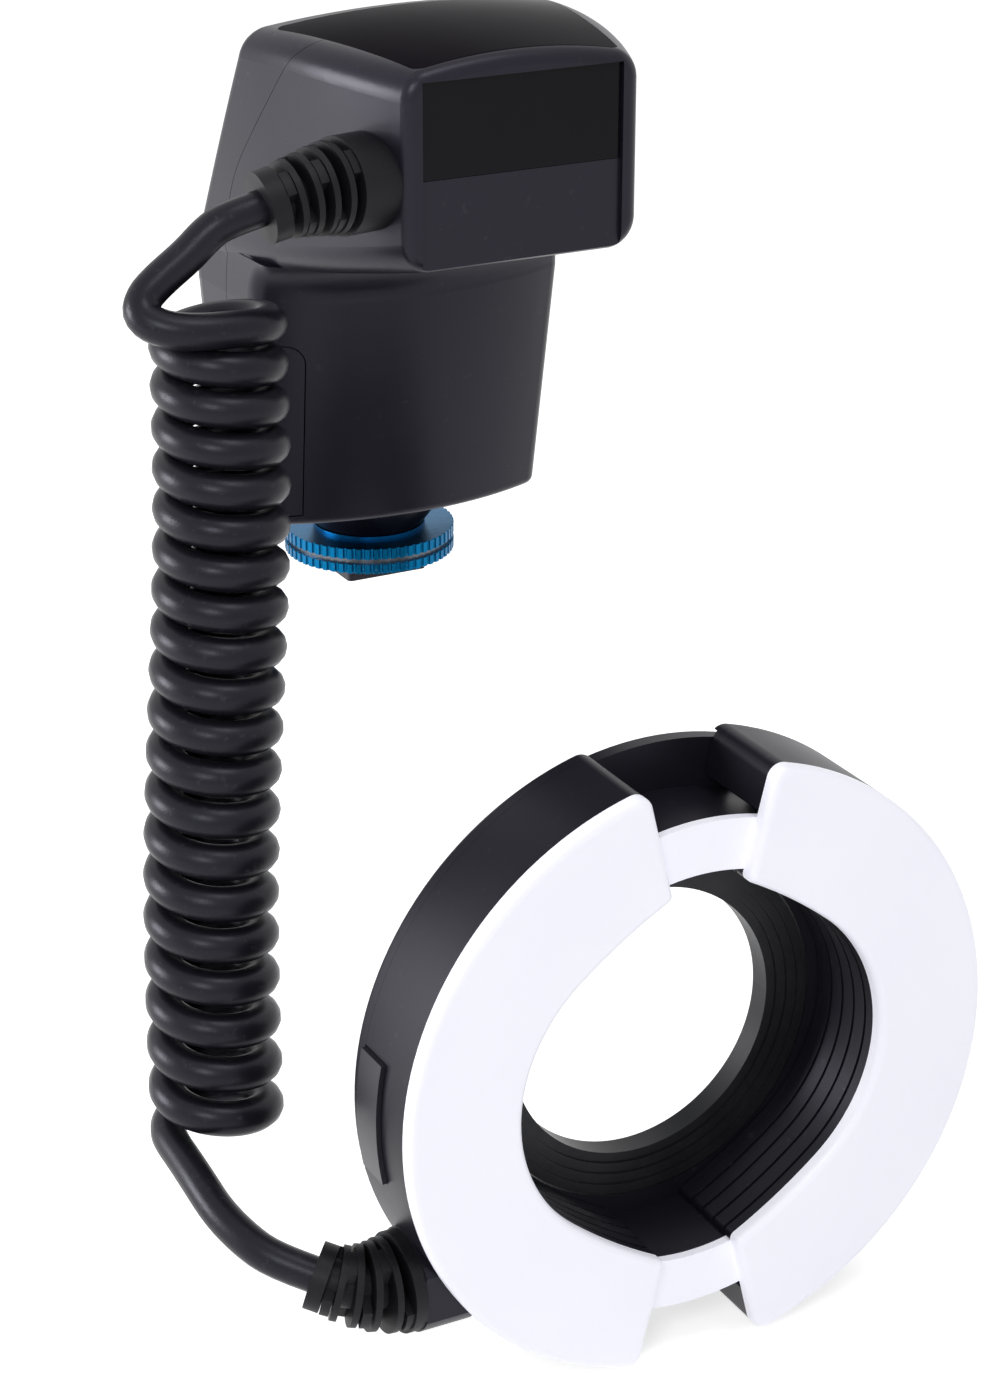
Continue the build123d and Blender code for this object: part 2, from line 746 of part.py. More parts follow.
# Ring head: axis along Y, depths counted rearwards from the diffusers' faces
ring_front_y = -146.0
ring_axis_z = -55.9
ring_radius = 63.1
notch_outer_x = 13.5
notch_inner_x = 8.0
notch_inner_height = 39.0
notch_outer_radius = 3.0
notch_inner_radius = 1.5
bore_centre_x = 5.5
bore_side_radius = 34.0
bore_side_degrees = 50.0
diffuser_depth = 3.0
diffuser_wall = 1.8
diffuser_edge_radius = 1.6
face_joint = 0.05
housing_back = 20.8
housing_wall = 1.6
ridge_depths = (6.0, 10.0, 14.0, 18.0)
ridge_width = 0.7
ridge_height = 0.5
ridge_zone_radius = 46.0
ring_cover_back = 24.5
ring_cover_edge_radius = 1.5
plate_front = 22.7
plate_back = 25.7
plate_radius = 52.0
plate_bore_radius = 37.0
plate_tab_half_width = 18.0
plate_tab_reach = 60.5
slide_travel = 6.0
bridge_inner_radius = 41.2
bridge_outer_radius = 50.5
bridge_half_width = 16.0
bridge_front = 5.2
bridge_lens_front = 3.4
bridge_lens_inner_radius = 41.4
bridge_lens_outer_radius = 51.8
reflector_inner_radius = 44.0
reflector_outer_radius = 55.4
reflector_half_degrees = 55.0
reflector_front = 4.5
reflector_back = 19.1
reflector_wall = 1.0
tube_circle_radius = 49.7
tube_depth = 9.0
tube_radius = 3.0
tube_end_gap = 0.4
light_circle_radius = 58.4
light_radius = 2.3
light_front = 10.0
light_degrees = (38.0, -46.0)
lamp_board_front = 19.4
lamp_board_back = 20.6
lamp_board_inner_radius = 43.2
lamp_board_outer_radius = 60.9
lamp_board_half_degrees = 56.0
release_height = 25.0
release_front = 12.0
release_back = 20.3
release_proud = 1.0
release_flange = 1.2
release_gap = 0.21
rib_width = 1.28
corner_match = 0.01
release_travel = 1.2
guide_screw_x = 39.8
guide_screw_height = 25.0
guide_screw_radius = 1.2
guide_head_radius = 2.4
guide_head_height = 1.2
adapter_radius = 36.7
adapter_thread_radius = 31.0
adapter_bore_radius = 28.6
adapter_thread_length = 4.0
adapter_steps = 3
cord_boss_radius = 10.2
cord_boss_depth = 12.0
cord_boss_drop = 34.4
cord_boss_x = -58.3

bore_turn = math.radians(bore_side_degrees)
bore_join_x = bore_centre_x + bore_side_radius * math.cos(bore_turn)
bore_join_height = bore_side_radius * math.sin(bore_turn)
notch_outer_height = math.sqrt(ring_radius**2 - notch_outer_x**2)
rib_x = bridge_half_width + slide_travel + run_gap


def ring_plane(depth):
    """The plane across the ring's axis at a depth, facing the subject."""
    return Plane(origin=(0, ring_front_y + depth, ring_axis_z), x_dir=(1, 0, 0), z_dir=(0, -1, 0))


def half_outline(side, inset):
    """Outline of one half of the ring, notched at top and bottom; side is +1 or -1."""
    tangent_x = -math.sin(bore_turn) * side
    tangent_up = math.cos(bore_turn)
    with BuildSketch() as outline:
        with BuildLine():
            ThreePointArc((side * notch_outer_x, notch_outer_height), (side * ring_radius, 0),
                          (side * notch_outer_x, -notch_outer_height))
            Line((side * notch_outer_x, -notch_outer_height), (side * notch_inner_x, -notch_inner_height))
            Line((side * notch_outer_x, notch_outer_height), (side * notch_inner_x, notch_inner_height))
            ThreePointArc((side * bore_join_x, -bore_join_height),
                          (side * (bore_centre_x + bore_side_radius), 0),
                          (side * bore_join_x, bore_join_height))
            TangentArc((side * bore_join_x, bore_join_height), (side * notch_inner_x, notch_inner_height),
                       tangent=(tangent_x, tangent_up))
            TangentArc((side * bore_join_x, -bore_join_height), (side * notch_inner_x, -notch_inner_height),
                       tangent=(tangent_x, -tangent_up))
        make_face()
        inward = outline.vertices().sort_by(Axis.Y)
        fillet([inward[0], inward[-1]], radius=notch_outer_radius)
        corners = outline.vertices().filter_by(lambda v: abs(abs(v.X) - notch_inner_x) < corner_match)
        fillet(corners, radius=notch_inner_radius)
        if inset > 0:
            offset(amount=-inset, mode=Mode.REPLACE)
    return outline.sketch


def sector(side, inner, outer, half_degrees):
    """Part of a ring about the axis, centred on 3 or 9 o'clock."""
    middle = 0 if side > 0 else math.pi
    spread = math.radians(half_degrees)
    low = (math.cos(middle - spread), math.sin(middle - spread))
    high = (math.cos(middle + spread), math.sin(middle + spread))
    with BuildSketch() as shape:
        with BuildLine():
            Line((low[0] * inner, low[1] * inner), (low[0] * outer, low[1] * outer))
            ThreePointArc((low[0] * outer, low[1] * outer), (side * outer, 0), (high[0] * outer, high[1] * outer))
            Line((high[0] * outer, high[1] * outer), (high[0] * inner, high[1] * inner))
            ThreePointArc((high[0] * inner, high[1] * inner), (side * inner, 0), (low[0] * inner, low[1] * inner))
        make_face()
    return shape.sketch


def bridge_outline(inner, outer, half_width):
    """Top and bottom bridge profiles: ring parts cut off straight at each end."""
    with BuildSketch() as shape:
        Circle(outer)
        Circle(inner, mode=Mode.SUBTRACT)
        Rectangle(half_width * 2, ring_radius * 2, mode=Mode.INTERSECT)
    return shape.sketch


def bridge_channel(side):
    """The room in a half that the bridges take up as the half slides."""
    top = bridge_lens_outer_radius + run_gap
    with BuildSketch() as shape:
        with Locations((side * rib_x / 2, 0)):
            Rectangle(rib_x, top * 2)
        Circle(bridge_inner_radius - run_gap, mode=Mode.SUBTRACT)
        low = math.sqrt((bridge_inner_radius - run_gap) ** 2 - bridge_half_width**2)
        Rectangle(ring_radius * 2, low * 2, mode=Mode.SUBTRACT)
    return shape.sketch


def stretched_disc(radius, shift):
    """A disc stretched sideways."""
    with BuildSketch() as shape:
        for place in (0, shift):
            with Locations((place, 0)):
                Circle(radius)
        if shift != 0:
            with Locations((shift / 2, 0)):
                Rectangle(abs(shift), radius * 2)
    return shape.sketch


def plate_outline(margin, shift):
    """Outline of the centre plate; the recess for it is widened and stretched sideways."""
    with BuildSketch() as shape:
        add(stretched_disc(plate_radius + margin, shift))
        with Locations((shift / 2, 0)):
            Rectangle((plate_tab_half_width + margin) * 2 + abs(shift), (plate_tab_reach + margin) * 2)
        add(stretched_disc(plate_tab_reach + margin, shift), mode=Mode.INTERSECT)
    return shape.sketch


def release_outline(side, margin, inner, outer):
    """The release button's profile in the ring's side wall."""
    with BuildSketch() as shape:
        Circle(outer)
        Circle(inner, mode=Mode.SUBTRACT)
        with Locations((side * ring_radius, 0)):
            Rectangle(ring_radius, release_height + margin * 2, mode=Mode.INTERSECT)
    return shape.sketch


def make_diffuser(side):
    """White cap over one half."""
    with BuildPart() as piece:
        with BuildSketch(ring_plane(diffuser_depth)):
            add(half_outline(side, 0))
        extrude(amount=diffuser_depth)
        fillet(piece.faces().sort_by(Axis.Y)[0].edges(), radius=diffuser_edge_radius)
        with BuildSketch(ring_plane(diffuser_depth)):
            add(half_outline(side, diffuser_wall))
        extrude(amount=diffuser_depth - diffuser_wall, mode=Mode.SUBTRACT)
    return piece


def make_housing(side):
    """Side walls of one half, open to front and rear."""
    front = diffuser_depth + face_joint
    with BuildPart() as piece:
        with BuildSketch(ring_plane(housing_back)):
            add(half_outline(side, 0))
        extrude(amount=housing_back - front)
        if side < 0:
            with BuildSketch(Plane(origin=(cord_boss_x, ring_front_y + cord_boss_depth,
                                           ring_axis_z - cord_boss_drop), z_dir=(1, 0, 0))):
                Circle(cord_boss_radius)
            extrude(amount=cord_boss_radius)
            for start in (0, housing_back):
                with BuildSketch(ring_plane(start)):
                    Rectangle(ring_radius * 2, ring_radius * 2)
                extrude(amount=-front if start == 0 else -cord_boss_radius, mode=Mode.SUBTRACT)
        with BuildSketch(ring_plane(housing_back)):
            add(half_outline(side, housing_wall))
        extrude(amount=housing_back - front, mode=Mode.SUBTRACT)
        with BuildSketch(ring_plane(housing_back)):
            add(bridge_channel(side))
        extrude(amount=housing_back - front, mode=Mode.SUBTRACT)
        with BuildSketch(ring_plane(housing_back)):
            add(release_outline(side, release_gap, reflector_outer_radius, ring_radius + overrun))
        extrude(amount=housing_back - release_front + release_gap, mode=Mode.SUBTRACT)
        with BuildSketch(ring_plane(housing_back)):
            add(half_outline(side, 0))
            with Locations((side * (rib_x + housing_wall / 2), 0)):
                Rectangle(rib_width, ring_radius * 2, mode=Mode.INTERSECT)
        extrude(amount=housing_back - reflector_front)
        for depth in ridge_depths:
            with BuildSketch(ring_plane(depth)):
                add(half_outline(side, 0))
                add(half_outline(side, ridge_height), mode=Mode.SUBTRACT)
                Circle(ridge_zone_radius, mode=Mode.INTERSECT)
                add(bridge_channel(side), mode=Mode.SUBTRACT)
            extrude(amount=ridge_width, mode=Mode.SUBTRACT)
    return piece


def make_ring_cover(side):
    """Rear cover of one half, recessed for the centre plate."""
    front = housing_back + face_joint
    recess = plate_front - run_gap
    with BuildPart() as piece:
        with BuildSketch(ring_plane(ring_cover_back)):
            add(half_outline(side, 0))
        extrude(amount=ring_cover_back - front)
        rim = piece.faces().sort_by(Axis.Y)[-1].edges().filter_by(GeomType.CIRCLE).sort_by(SortBy.LENGTH)[-1]
        fillet(rim, radius=ring_cover_edge_radius)
        with BuildSketch(ring_plane(ring_cover_back)):
            add(plate_outline(run_gap, side * slide_travel))
        extrude(amount=ring_cover_back - recess, mode=Mode.SUBTRACT)
        with BuildSketch(ring_plane(ring_cover_back)):
            add(bridge_channel(side))
        extrude(amount=ring_cover_back - front, mode=Mode.SUBTRACT)
        with BuildSketch(ring_plane(recess)):
            with Locations((side * guide_screw_x, guide_screw_height),
                           (side * guide_screw_x, -guide_screw_height)):
                Circle(guide_screw_radius + face_joint)
        extrude(amount=recess - front, mode=Mode.SUBTRACT)
    return piece


def make_reflector(side):
    """Trough behind the diffuser that holds the flash tube."""
    end_degrees = math.degrees(reflector_wall / reflector_inner_radius)
    with BuildPart() as piece:
        with BuildSketch(ring_plane(reflector_back)):
            add(sector(side, reflector_inner_radius, reflector_outer_radius, reflector_half_degrees))
        extrude(amount=reflector_back - reflector_front)
        with BuildSketch(ring_plane(reflector_back - reflector_wall)):
            add(sector(side, reflector_inner_radius + reflector_wall, reflector_outer_radius - reflector_wall,
                       reflector_half_degrees - end_degrees))
        extrude(amount=reflector_back - reflector_front, mode=Mode.SUBTRACT)
    return piece


def make_flash_tube(side):
    """Glass tube bent to the ring."""
    end_degrees = math.degrees((reflector_wall + tube_end_gap) / reflector_inner_radius)
    half_degrees = reflector_half_degrees - end_degrees
    start = (0 if side > 0 else 180) - half_degrees
    section = Plane(origin=(0, ring_front_y + tube_depth, ring_axis_z), x_dir=(1, 0, 0), z_dir=(0, 0, 1))
    turn = Axis((0, ring_front_y, ring_axis_z), (0, -1, 0))
    with BuildPart() as piece:
        with BuildSketch(section):
            with Locations((tube_circle_radius, 0)):
                Circle(tube_radius)
        revolve(axis=turn, revolution_arc=half_degrees * 2)
        piece.part = piece.part.rotate(turn, start)
    return piece


def make_lamp_board(side):
    """Circuit board behind the reflector, cut back round the release button."""
    with BuildPart() as piece:
        with BuildSketch(ring_plane(lamp_board_back)):
            add(sector(side, lamp_board_inner_radius, lamp_board_outer_radius, lamp_board_half_degrees))
            add(release_outline(side, overrun * 2, ring_radius - housing_wall - release_flange - release_travel * 2,
                                ring_radius), mode=Mode.SUBTRACT)
        extrude(amount=lamp_board_back - lamp_board_front)
    return piece


def make_lights(side):
    """Two modelling lights standing on the lamp board."""
    places = []
    for degrees in light_degrees:
        turn = math.radians(degrees)
        places.append((side * light_circle_radius * math.cos(turn), light_circle_radius * math.sin(turn)))
    with BuildPart() as piece:
        with BuildSketch(ring_plane(lamp_board_front)):
            with Locations(*places):
                Circle(light_radius)
        extrude(amount=lamp_board_front - light_front)
        fillet(piece.faces().sort_by(Axis.Y)[0:2].edges(), radius=overrun)
    return piece


def make_release(side):
    """Release button in the ring's side, with a flange behind the wall."""
    inside = ring_radius - housing_wall - seat_gap
    with BuildPart() as piece:
        with BuildSketch(ring_plane(release_back)):
            add(release_outline(side, 0, inside - release_flange / 2, ring_radius + release_proud))
        extrude(amount=release_back - release_front)
        with BuildSketch(ring_plane(release_back)):
            add(release_outline(side, overrun, inside - release_flange, inside))
        extrude(amount=release_back - release_front + overrun)
    return piece


def make_guide_screws(side):
    """Shouldered screws that ride in the centre plate's slots."""
    places = [(side * guide_screw_x, guide_screw_height), (side * guide_screw_x, -guide_screw_height)]
    head_depth = plate_back + seat_gap
    with BuildPart() as piece:
        with BuildSketch(ring_plane(head_depth)):
            with Locations(*places):
                Circle(guide_screw_radius)
        extrude(amount=head_depth - housing_back - face_joint)
        with BuildSketch(ring_plane(head_depth + guide_head_height)):
            with Locations(*places):
                Circle(guide_head_radius)
        extrude(amount=guide_head_height)
    return piece


# Centre frame: plate with its bore, guide slots and the two bridge blocks
slot_length = slide_travel + (guide_screw_radius + run_gap) * 2
slot_x = guide_screw_x - slide_travel / 2
with BuildPart() as ring_centre_frame:
    with BuildSketch(ring_plane(plate_back)):
        add(plate_outline(0, 0))
        Circle(plate_bore_radius, mode=Mode.SUBTRACT)
        with GridLocations(slot_x * 2, guide_screw_height * 2, 2, 2):
            SlotOverall(slot_length, (guide_screw_radius + run_gap) * 2, mode=Mode.SUBTRACT)
    extrude(amount=plate_back - plate_front)
    with BuildSketch(ring_plane(plate_front)):
        add(bridge_outline(bridge_inner_radius, bridge_outer_radius, bridge_half_width))
    extrude(amount=plate_front - bridge_front)

with BuildPart() as bridge_diffusers:
    with BuildSketch(ring_plane(bridge_front)):
        add(bridge_outline(bridge_lens_inner_radius, bridge_lens_outer_radius, bridge_half_width))
    extrude(amount=bridge_front - bridge_lens_front)

# Adapter ring: stepped face in the plate's bore, male thread behind
with BuildPart() as adapter_ring:
    with BuildSketch(ring_plane(plate_back)):
        Circle(adapter_radius)
    extrude(amount=plate_back - plate_front)
    step_drop = (plate_back - plate_front - overrun) / adapter_steps
    step_in = (adapter_radius - adapter_bore_radius) / (adapter_steps + 1)
    for step in range(1, adapter_steps + 1):
        with BuildSketch(ring_plane(plate_front + step_drop * step)):
            Circle(adapter_radius - step_in * step)
        extrude(amount=step_drop, mode=Mode.SUBTRACT)
    with BuildSketch(ring_plane(plate_back)):
        Circle(adapter_thread_radius)
    extrude(amount=-adapter_thread_length)
    with BuildSketch(ring_plane(plate_back + adapter_thread_length)):
        Circle(adapter_bore_radius)
    extrude(amount=adapter_thread_length + plate_back, mode=Mode.SUBTRACT)

ring_makers = {
    "diffuser": make_diffuser,
    "ring_housing": make_housing,
    "ring_cover": make_ring_cover,
    "reflector": make_reflector,
    "flash_tube": make_flash_tube,
    "lamp_board": make_lamp_board,
    "modelling_lights": make_lights,
    "release_button": make_release,
    "guide_screws": make_guide_screws,
}
ring_halves = {}
for kind, make in ring_makers.items():
    ring_halves[f"{kind}_left"] = make(-1)
    ring_halves[f"{kind}_right"] = make(1)


# Cord: wire, strain reliefs, curly stretch and the two free leads
wire_radius = 3.4
relief_web_width = 5.0
relief_gap = 1.5
relief_ring = 1.3
relief_rings = 4
relief_core_gap = 1.0
upper_relief_place = (-28.3, -60.4, 101.7)
upper_relief_face = (-0.982, -0.188, 0)
upper_relief_bend = (-0.14, 0.71, -0.70)
upper_relief_degrees = 22.0
upper_relief_radius = 9.5
upper_relief_collar = 7.0
upper_relief_tip_radius = 6.65
upper_relief_tip = 3.5
upper_relief_sink = 3.0
lower_relief_bend = (0, 0.9, 0.43)
lower_relief_degrees = 50.0
lower_relief_radius = 9.85
lower_relief_collar = 2.5
lower_relief_tip_radius = 6.25
lower_relief_tip = 3.0
coil_radius = 9.7
coil_turns = 19.826
coil_pitch = 7.5
coil_spread = 6.8
coil_spread_power = 4
coil_span = 19.0
coil_top = Vector(-59.3, -59.5, 79.9)
coil_lean = Vector(-16.8, -27.0, 0)
coil_sway = 1.0
coil_first_degrees = 242.5
coil_start_turn = 27.5 / 360
coil_entry = Vector(-70.7, -61.6, 87.7)
coil_entry_way = Vector(-0.74, 0, -0.67)
upper_lead_run = 7.2
coil_top_run = 5.5
coil_foot_run = 7.5
lower_lead_run = 8.0
lead_arc_share = 0.45
near_turn_share = 0.6
relief_lap = 0.3


def relief_station(place, face, bend, collar, length, degrees, share):
    """Point and direction at a share of a strain relief's bent part."""
    out = Vector(face).normalized()
    across = (Vector(bend) - out * Vector(bend).dot(out)).normalized()
    turn = math.radians(degrees) * share
    radius = length / math.radians(degrees)
    start = Vector(place) + out * collar
    point = start + out * (radius * math.sin(turn)) + across * (radius * (1 - math.cos(turn)))
    return point, out * math.cos(turn) + across * math.sin(turn)


def relief_length(tip):
    """Length of a strain relief's bent part: its gaps, rings and tip."""
    return (relief_gap + relief_ring) * relief_rings + relief_gap + tip


def strain_relief(place, face, bend, collar, sink, radius, tip_radius, tip, degrees):
    """Moulded strain relief: collar, slotted tapering part and tip, bent towards the cord."""
    length = relief_length(tip)
    bent = 1 - tip / length
    stations = [relief_station(place, face, bend, collar, length, degrees, bent * share) for share in (0, 0.5, 1)]
    out = Vector(face).normalized()
    side = out.cross(Vector(bend)).normalized()
    with BuildPart() as relief:
        with BuildSketch(Plane(origin=Vector(place) - out * sink, x_dir=side, z_dir=out)):
            Circle(radius)
        extrude(amount=collar + sink)
        with BuildLine() as spine:
            ThreePointArc(stations[0][0], stations[1][0], stations[2][0])
        with BuildSketch(Plane(origin=stations[0][0], x_dir=side, z_dir=out)):
            Circle(wire_radius + relief_core_gap)
        sweep(path=spine.line)
        travelled = 0
        for ring in range(relief_rings + 1):
            share = travelled / length
            point, way = relief_station(place, face, bend, collar, length, degrees, share)
            envelope = mix(radius, tip_radius, min(1, share + relief_gap / length)) - seat_gap
            with BuildSketch(Plane(origin=point - way * seat_gap, x_dir=side, z_dir=way)):
                Circle(envelope)
                if ring % 2 == 0:
                    Rectangle(relief_web_width, radius * 2, mode=Mode.INTERSECT)
                else:
                    Rectangle(radius * 2, relief_web_width, mode=Mode.INTERSECT)
            extrude(amount=relief_gap + relief_lap)
            travelled += relief_gap
            share = travelled / length
            point, way = relief_station(place, face, bend, collar, length, degrees, share)
            with BuildSketch(Plane(origin=point, x_dir=side, z_dir=way)):
                Circle(mix(radius, tip_radius, min(1, share + relief_gap / length)))
            extrude(amount=relief_ring if ring < relief_rings else tip)
            travelled += relief_ring
    return relief


upper_arguments = (upper_relief_place, upper_relief_face, upper_relief_bend, upper_relief_collar)
lower_relief_place = (cord_boss_x, ring_front_y + cord_boss_depth, ring_axis_z - cord_boss_drop)
lower_arguments = (lower_relief_place, (-1, 0, 0), lower_relief_bend, lower_relief_collar)


def relief_end(arguments, degrees, tip):
    """Centre and outward direction of a strain relief's tip face."""
    length = relief_length(tip)
    start, way = relief_station(*arguments, length, degrees, 1 - tip / length)
    return start + way * tip, way


with BuildPart() as upper_strain_relief:
    add(strain_relief(*upper_arguments, upper_relief_sink, upper_relief_radius,
                      upper_relief_tip_radius, upper_relief_tip, upper_relief_degrees).part)
    add(outer_case, mode=Mode.SUBTRACT)

lower_strain_relief = strain_relief(*lower_arguments, 0, lower_relief_radius,
                                    lower_relief_tip_radius, lower_relief_tip, lower_relief_degrees)
upper_tip, upper_way = relief_end(upper_arguments, upper_relief_degrees, upper_relief_tip)
lower_tip, lower_way = relief_end(lower_arguments, lower_relief_degrees, lower_relief_tip)


def coil_point(turns):
    """Centre of the wire after a number of turns, counted from the first crossing of the front."""
    share = turns / coil_span
    sway = Vector(coil_sway * math.sin(math.tau * share), 0, 0)
    drop = Vector(0, 0, coil_pitch * turns + coil_spread * share**coil_spread_power)
    angle = math.radians(coil_first_degrees) + math.tau * turns
    arm = Vector(math.cos(angle), math.sin(angle), 0) * coil_radius
    return coil_top + coil_lean * share + sway - drop + arm


def coil_way(turns):
    """Direction of the wire after a number of turns."""
    step = 0.001
    return (coil_point(turns + step) - coil_point(turns - step)).normalized()


def biarc(start, start_way, end, end_way):
    """Two tangent arcs from one point and direction to another."""
    reach = end - start
    ways = start_way + end_way
    a = 2 * (start_way.dot(end_way) - 1)
    b = -2 * reach.dot(ways)
    c = reach.dot(reach)
    span = (-b - math.sqrt(b * b - 4 * a * c)) / (2 * a)
    if span < 0:
        span = (-b + math.sqrt(b * b - 4 * a * c)) / (2 * a)
    joint = (start + start_way * span + end - end_way * span) / 2
    joint_way = ((end - end_way * span) - (start + start_way * span)).normalized()
    return [TangentArc(start, joint, tangent=start_way), TangentArc(joint, end, tangent=joint_way)]


def least_gap(points, wire, skip):
    """Least gap of a wound wire to itself, measured on points along it."""
    least = math.inf
    for index, point in enumerate(points):
        for other in points[index + skip::2]:
            least = min(least, (point - other).length)
    return least - wire * 2


coil_start_way = coil_entry_way.normalized()
coil_start = coil_entry - coil_start_way * wire_radius * 2
quarters = round((coil_turns - coil_start_turn) * 4)
coil_marks = [coil_start_turn + quarter / 4 for quarter in range(quarters + 1)]
coil_exit = coil_point(coil_marks[-1])
coil_exit_way = coil_way(coil_marks[-1])
coil_end = coil_exit + coil_exit_way * wire_radius * 2
with BuildPart() as cord_coil:
    with BuildLine() as coil_path:
        Line(coil_start, coil_entry)
        biarc(coil_entry, coil_start_way, coil_point(coil_marks[0]), coil_way(coil_marks[0]))
        for mark, following in zip(coil_marks, coil_marks[1:]):
            biarc(coil_point(mark), coil_way(mark), coil_point(following), coil_way(following))
        Line(coil_exit, coil_end)
    with BuildSketch(Plane(origin=coil_start, z_dir=coil_start_way)):
        Circle(wire_radius)
    sweep(path=coil_path.wires()[0])
coil_line = coil_path.wires()[0]
sample_count = round(coil_line.length)
coil_samples = [coil_line.position_at(index / sample_count) for index in range(sample_count + 1)]
turn_samples = round(math.tau * coil_radius * near_turn_share)
print("coil length", round(coil_line.length, 1), "least gap", round(least_gap(coil_samples, wire_radius, turn_samples), 2))
print("coil volume over section times length",
      round(cord_coil.part.volume / (math.pi * wire_radius**2 * coil_line.length), 4))

# Routes of the free leads, from the strain reliefs' tips to the coil's ends
upper_route = [
    upper_tip,
    upper_tip + upper_way * upper_lead_run,
    coil_start - coil_start_way * coil_top_run,
    coil_start,
]
lower_route = [
    coil_end,
    coil_end + coil_exit_way * coil_foot_run,
    Vector(-86.0, -109.8, -81.2),
    Vector(-83.9, -117.6, -83.5),
    lower_tip + lower_way * lower_lead_run,
    lower_tip,
]


def lead(route, label):
    """A free stretch of wire: straight runs joined by arcs as large as the runs allow."""
    radii = []
    for before, corner, after in zip(route, route[1:], route[2:]):
        turn = math.radians((corner - before).get_angle(after - corner))
        run = min((corner - before).length, (after - corner).length)
        radii.append(lead_arc_share * run / math.tan(turn / 2))
    with BuildPart() as tube:
        with BuildLine() as path:
            FilletPolyline(*route, radius=radii)
        with BuildSketch(Plane(origin=route[0], z_dir=route[1] - route[0])):
            Circle(wire_radius)
        sweep(path=path.wires()[0])
    length = path.wires()[0].length
    print(label, "length", round(length, 1), "radii", [round(radius, 1) for radius in radii],
          "volume over section times length", round(tube.part.volume / (math.pi * wire_radius**2 * length), 4))
    return tube


cord_upper_lead = lead(upper_route, "upper lead")
cord_lower_lead = lead(lower_route, "lower lead")


# Every piece, written under its own name
pieces = {
    "front_shell": front_shell,
    "rear_cover": rear_cover,
    "top_panel": top_panel,
    "transceiver_window": transceiver_window,
    "display_window": display_window,
    "display_panel": display_panel,
    "battery_door": battery_door,
    "door_hinge_pin": door_hinge_pin,
    "battery_magazine": battery_magazine,
    "battery_cells": battery_cells,
    "battery_contacts": battery_contacts,
    "main_board": main_board,
    "main_capacitor": main_capacitor,
    "transformer": transformer,
    "radio_board": radio_board,
    "case_screws": case_screws,
    "foot_screws": foot_screws,
    "control_dial": control_dial,
    "set_button": set_button,
    "foot_collar": foot_collar,
    "shoe_foot": shoe_foot,
    "foot_contacts": foot_contacts,
    "locking_pin": locking_pin,
    "lock_wheel": lock_wheel,
    "lock_wheel_band": lock_wheel_band,
    "upper_strain_relief": upper_strain_relief,
    "lower_strain_relief": lower_strain_relief,
    "cord_upper_lead": cord_upper_lead,
    "cord_coil": cord_coil,
    "cord_lower_lead": cord_lower_lead,
    "ring_centre_frame": ring_centre_frame,
    "bridge_diffusers": bridge_diffusers,
    "adapter_ring": adapter_ring,
}
for name, piece in {**pieces, **small_buttons, **ring_halves}.items():
    write_piece(piece, name)
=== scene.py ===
import math

import bpy
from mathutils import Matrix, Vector


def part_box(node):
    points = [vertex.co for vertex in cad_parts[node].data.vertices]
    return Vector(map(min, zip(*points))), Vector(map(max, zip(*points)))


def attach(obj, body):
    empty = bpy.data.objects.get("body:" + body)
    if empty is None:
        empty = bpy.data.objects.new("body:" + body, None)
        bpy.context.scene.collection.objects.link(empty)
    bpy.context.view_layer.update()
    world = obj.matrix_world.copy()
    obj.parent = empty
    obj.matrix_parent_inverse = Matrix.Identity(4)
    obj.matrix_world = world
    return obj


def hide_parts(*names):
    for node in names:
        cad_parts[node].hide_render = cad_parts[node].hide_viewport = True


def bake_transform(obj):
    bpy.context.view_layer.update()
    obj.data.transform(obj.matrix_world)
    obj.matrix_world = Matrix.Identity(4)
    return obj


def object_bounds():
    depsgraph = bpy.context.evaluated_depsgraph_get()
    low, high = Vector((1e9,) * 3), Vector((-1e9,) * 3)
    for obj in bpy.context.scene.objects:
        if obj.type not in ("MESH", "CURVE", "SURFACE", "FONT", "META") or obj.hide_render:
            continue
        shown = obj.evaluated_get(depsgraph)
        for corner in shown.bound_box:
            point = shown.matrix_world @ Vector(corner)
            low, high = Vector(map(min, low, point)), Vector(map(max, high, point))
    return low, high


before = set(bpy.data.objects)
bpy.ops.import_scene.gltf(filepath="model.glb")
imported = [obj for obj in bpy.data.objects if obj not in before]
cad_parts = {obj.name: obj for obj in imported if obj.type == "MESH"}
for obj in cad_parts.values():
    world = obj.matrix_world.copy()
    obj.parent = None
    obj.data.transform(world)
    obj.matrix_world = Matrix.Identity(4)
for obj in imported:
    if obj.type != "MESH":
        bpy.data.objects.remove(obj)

cad_low, cad_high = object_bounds()

# Viewpoint: it stands in front of the ring head, to its left and above it, and looks down at the
# whole flash. The lens is long, so that upright edges stay nearly parallel.
view_place = Vector((-0.28906, -0.60709, 0.25128))
view_azimuth = math.radians(-27.488)
view_elevation = math.radians(22.727)
camera_data = bpy.data.cameras.new("view")
camera_data.lens = 85.07
camera_data.sensor_width = 36
camera_data.shift_x = 0.0117
camera_data.shift_y = -0.0011
camera_data.clip_start = 0.01
camera = bpy.data.objects.new("view", camera_data)
bpy.context.collection.objects.link(camera)
view_back = Vector((
    math.sin(view_azimuth) * math.cos(view_elevation),
    -math.cos(view_azimuth) * math.cos(view_elevation),
    math.sin(view_elevation),
))
camera.rotation_mode = "QUATERNION"
camera.rotation_quaternion = (-view_back).to_track_quat("-Z", "Y")
camera.location = view_place
bpy.context.scene.camera = camera
bpy.context.scene.view_settings.view_transform = "Standard"


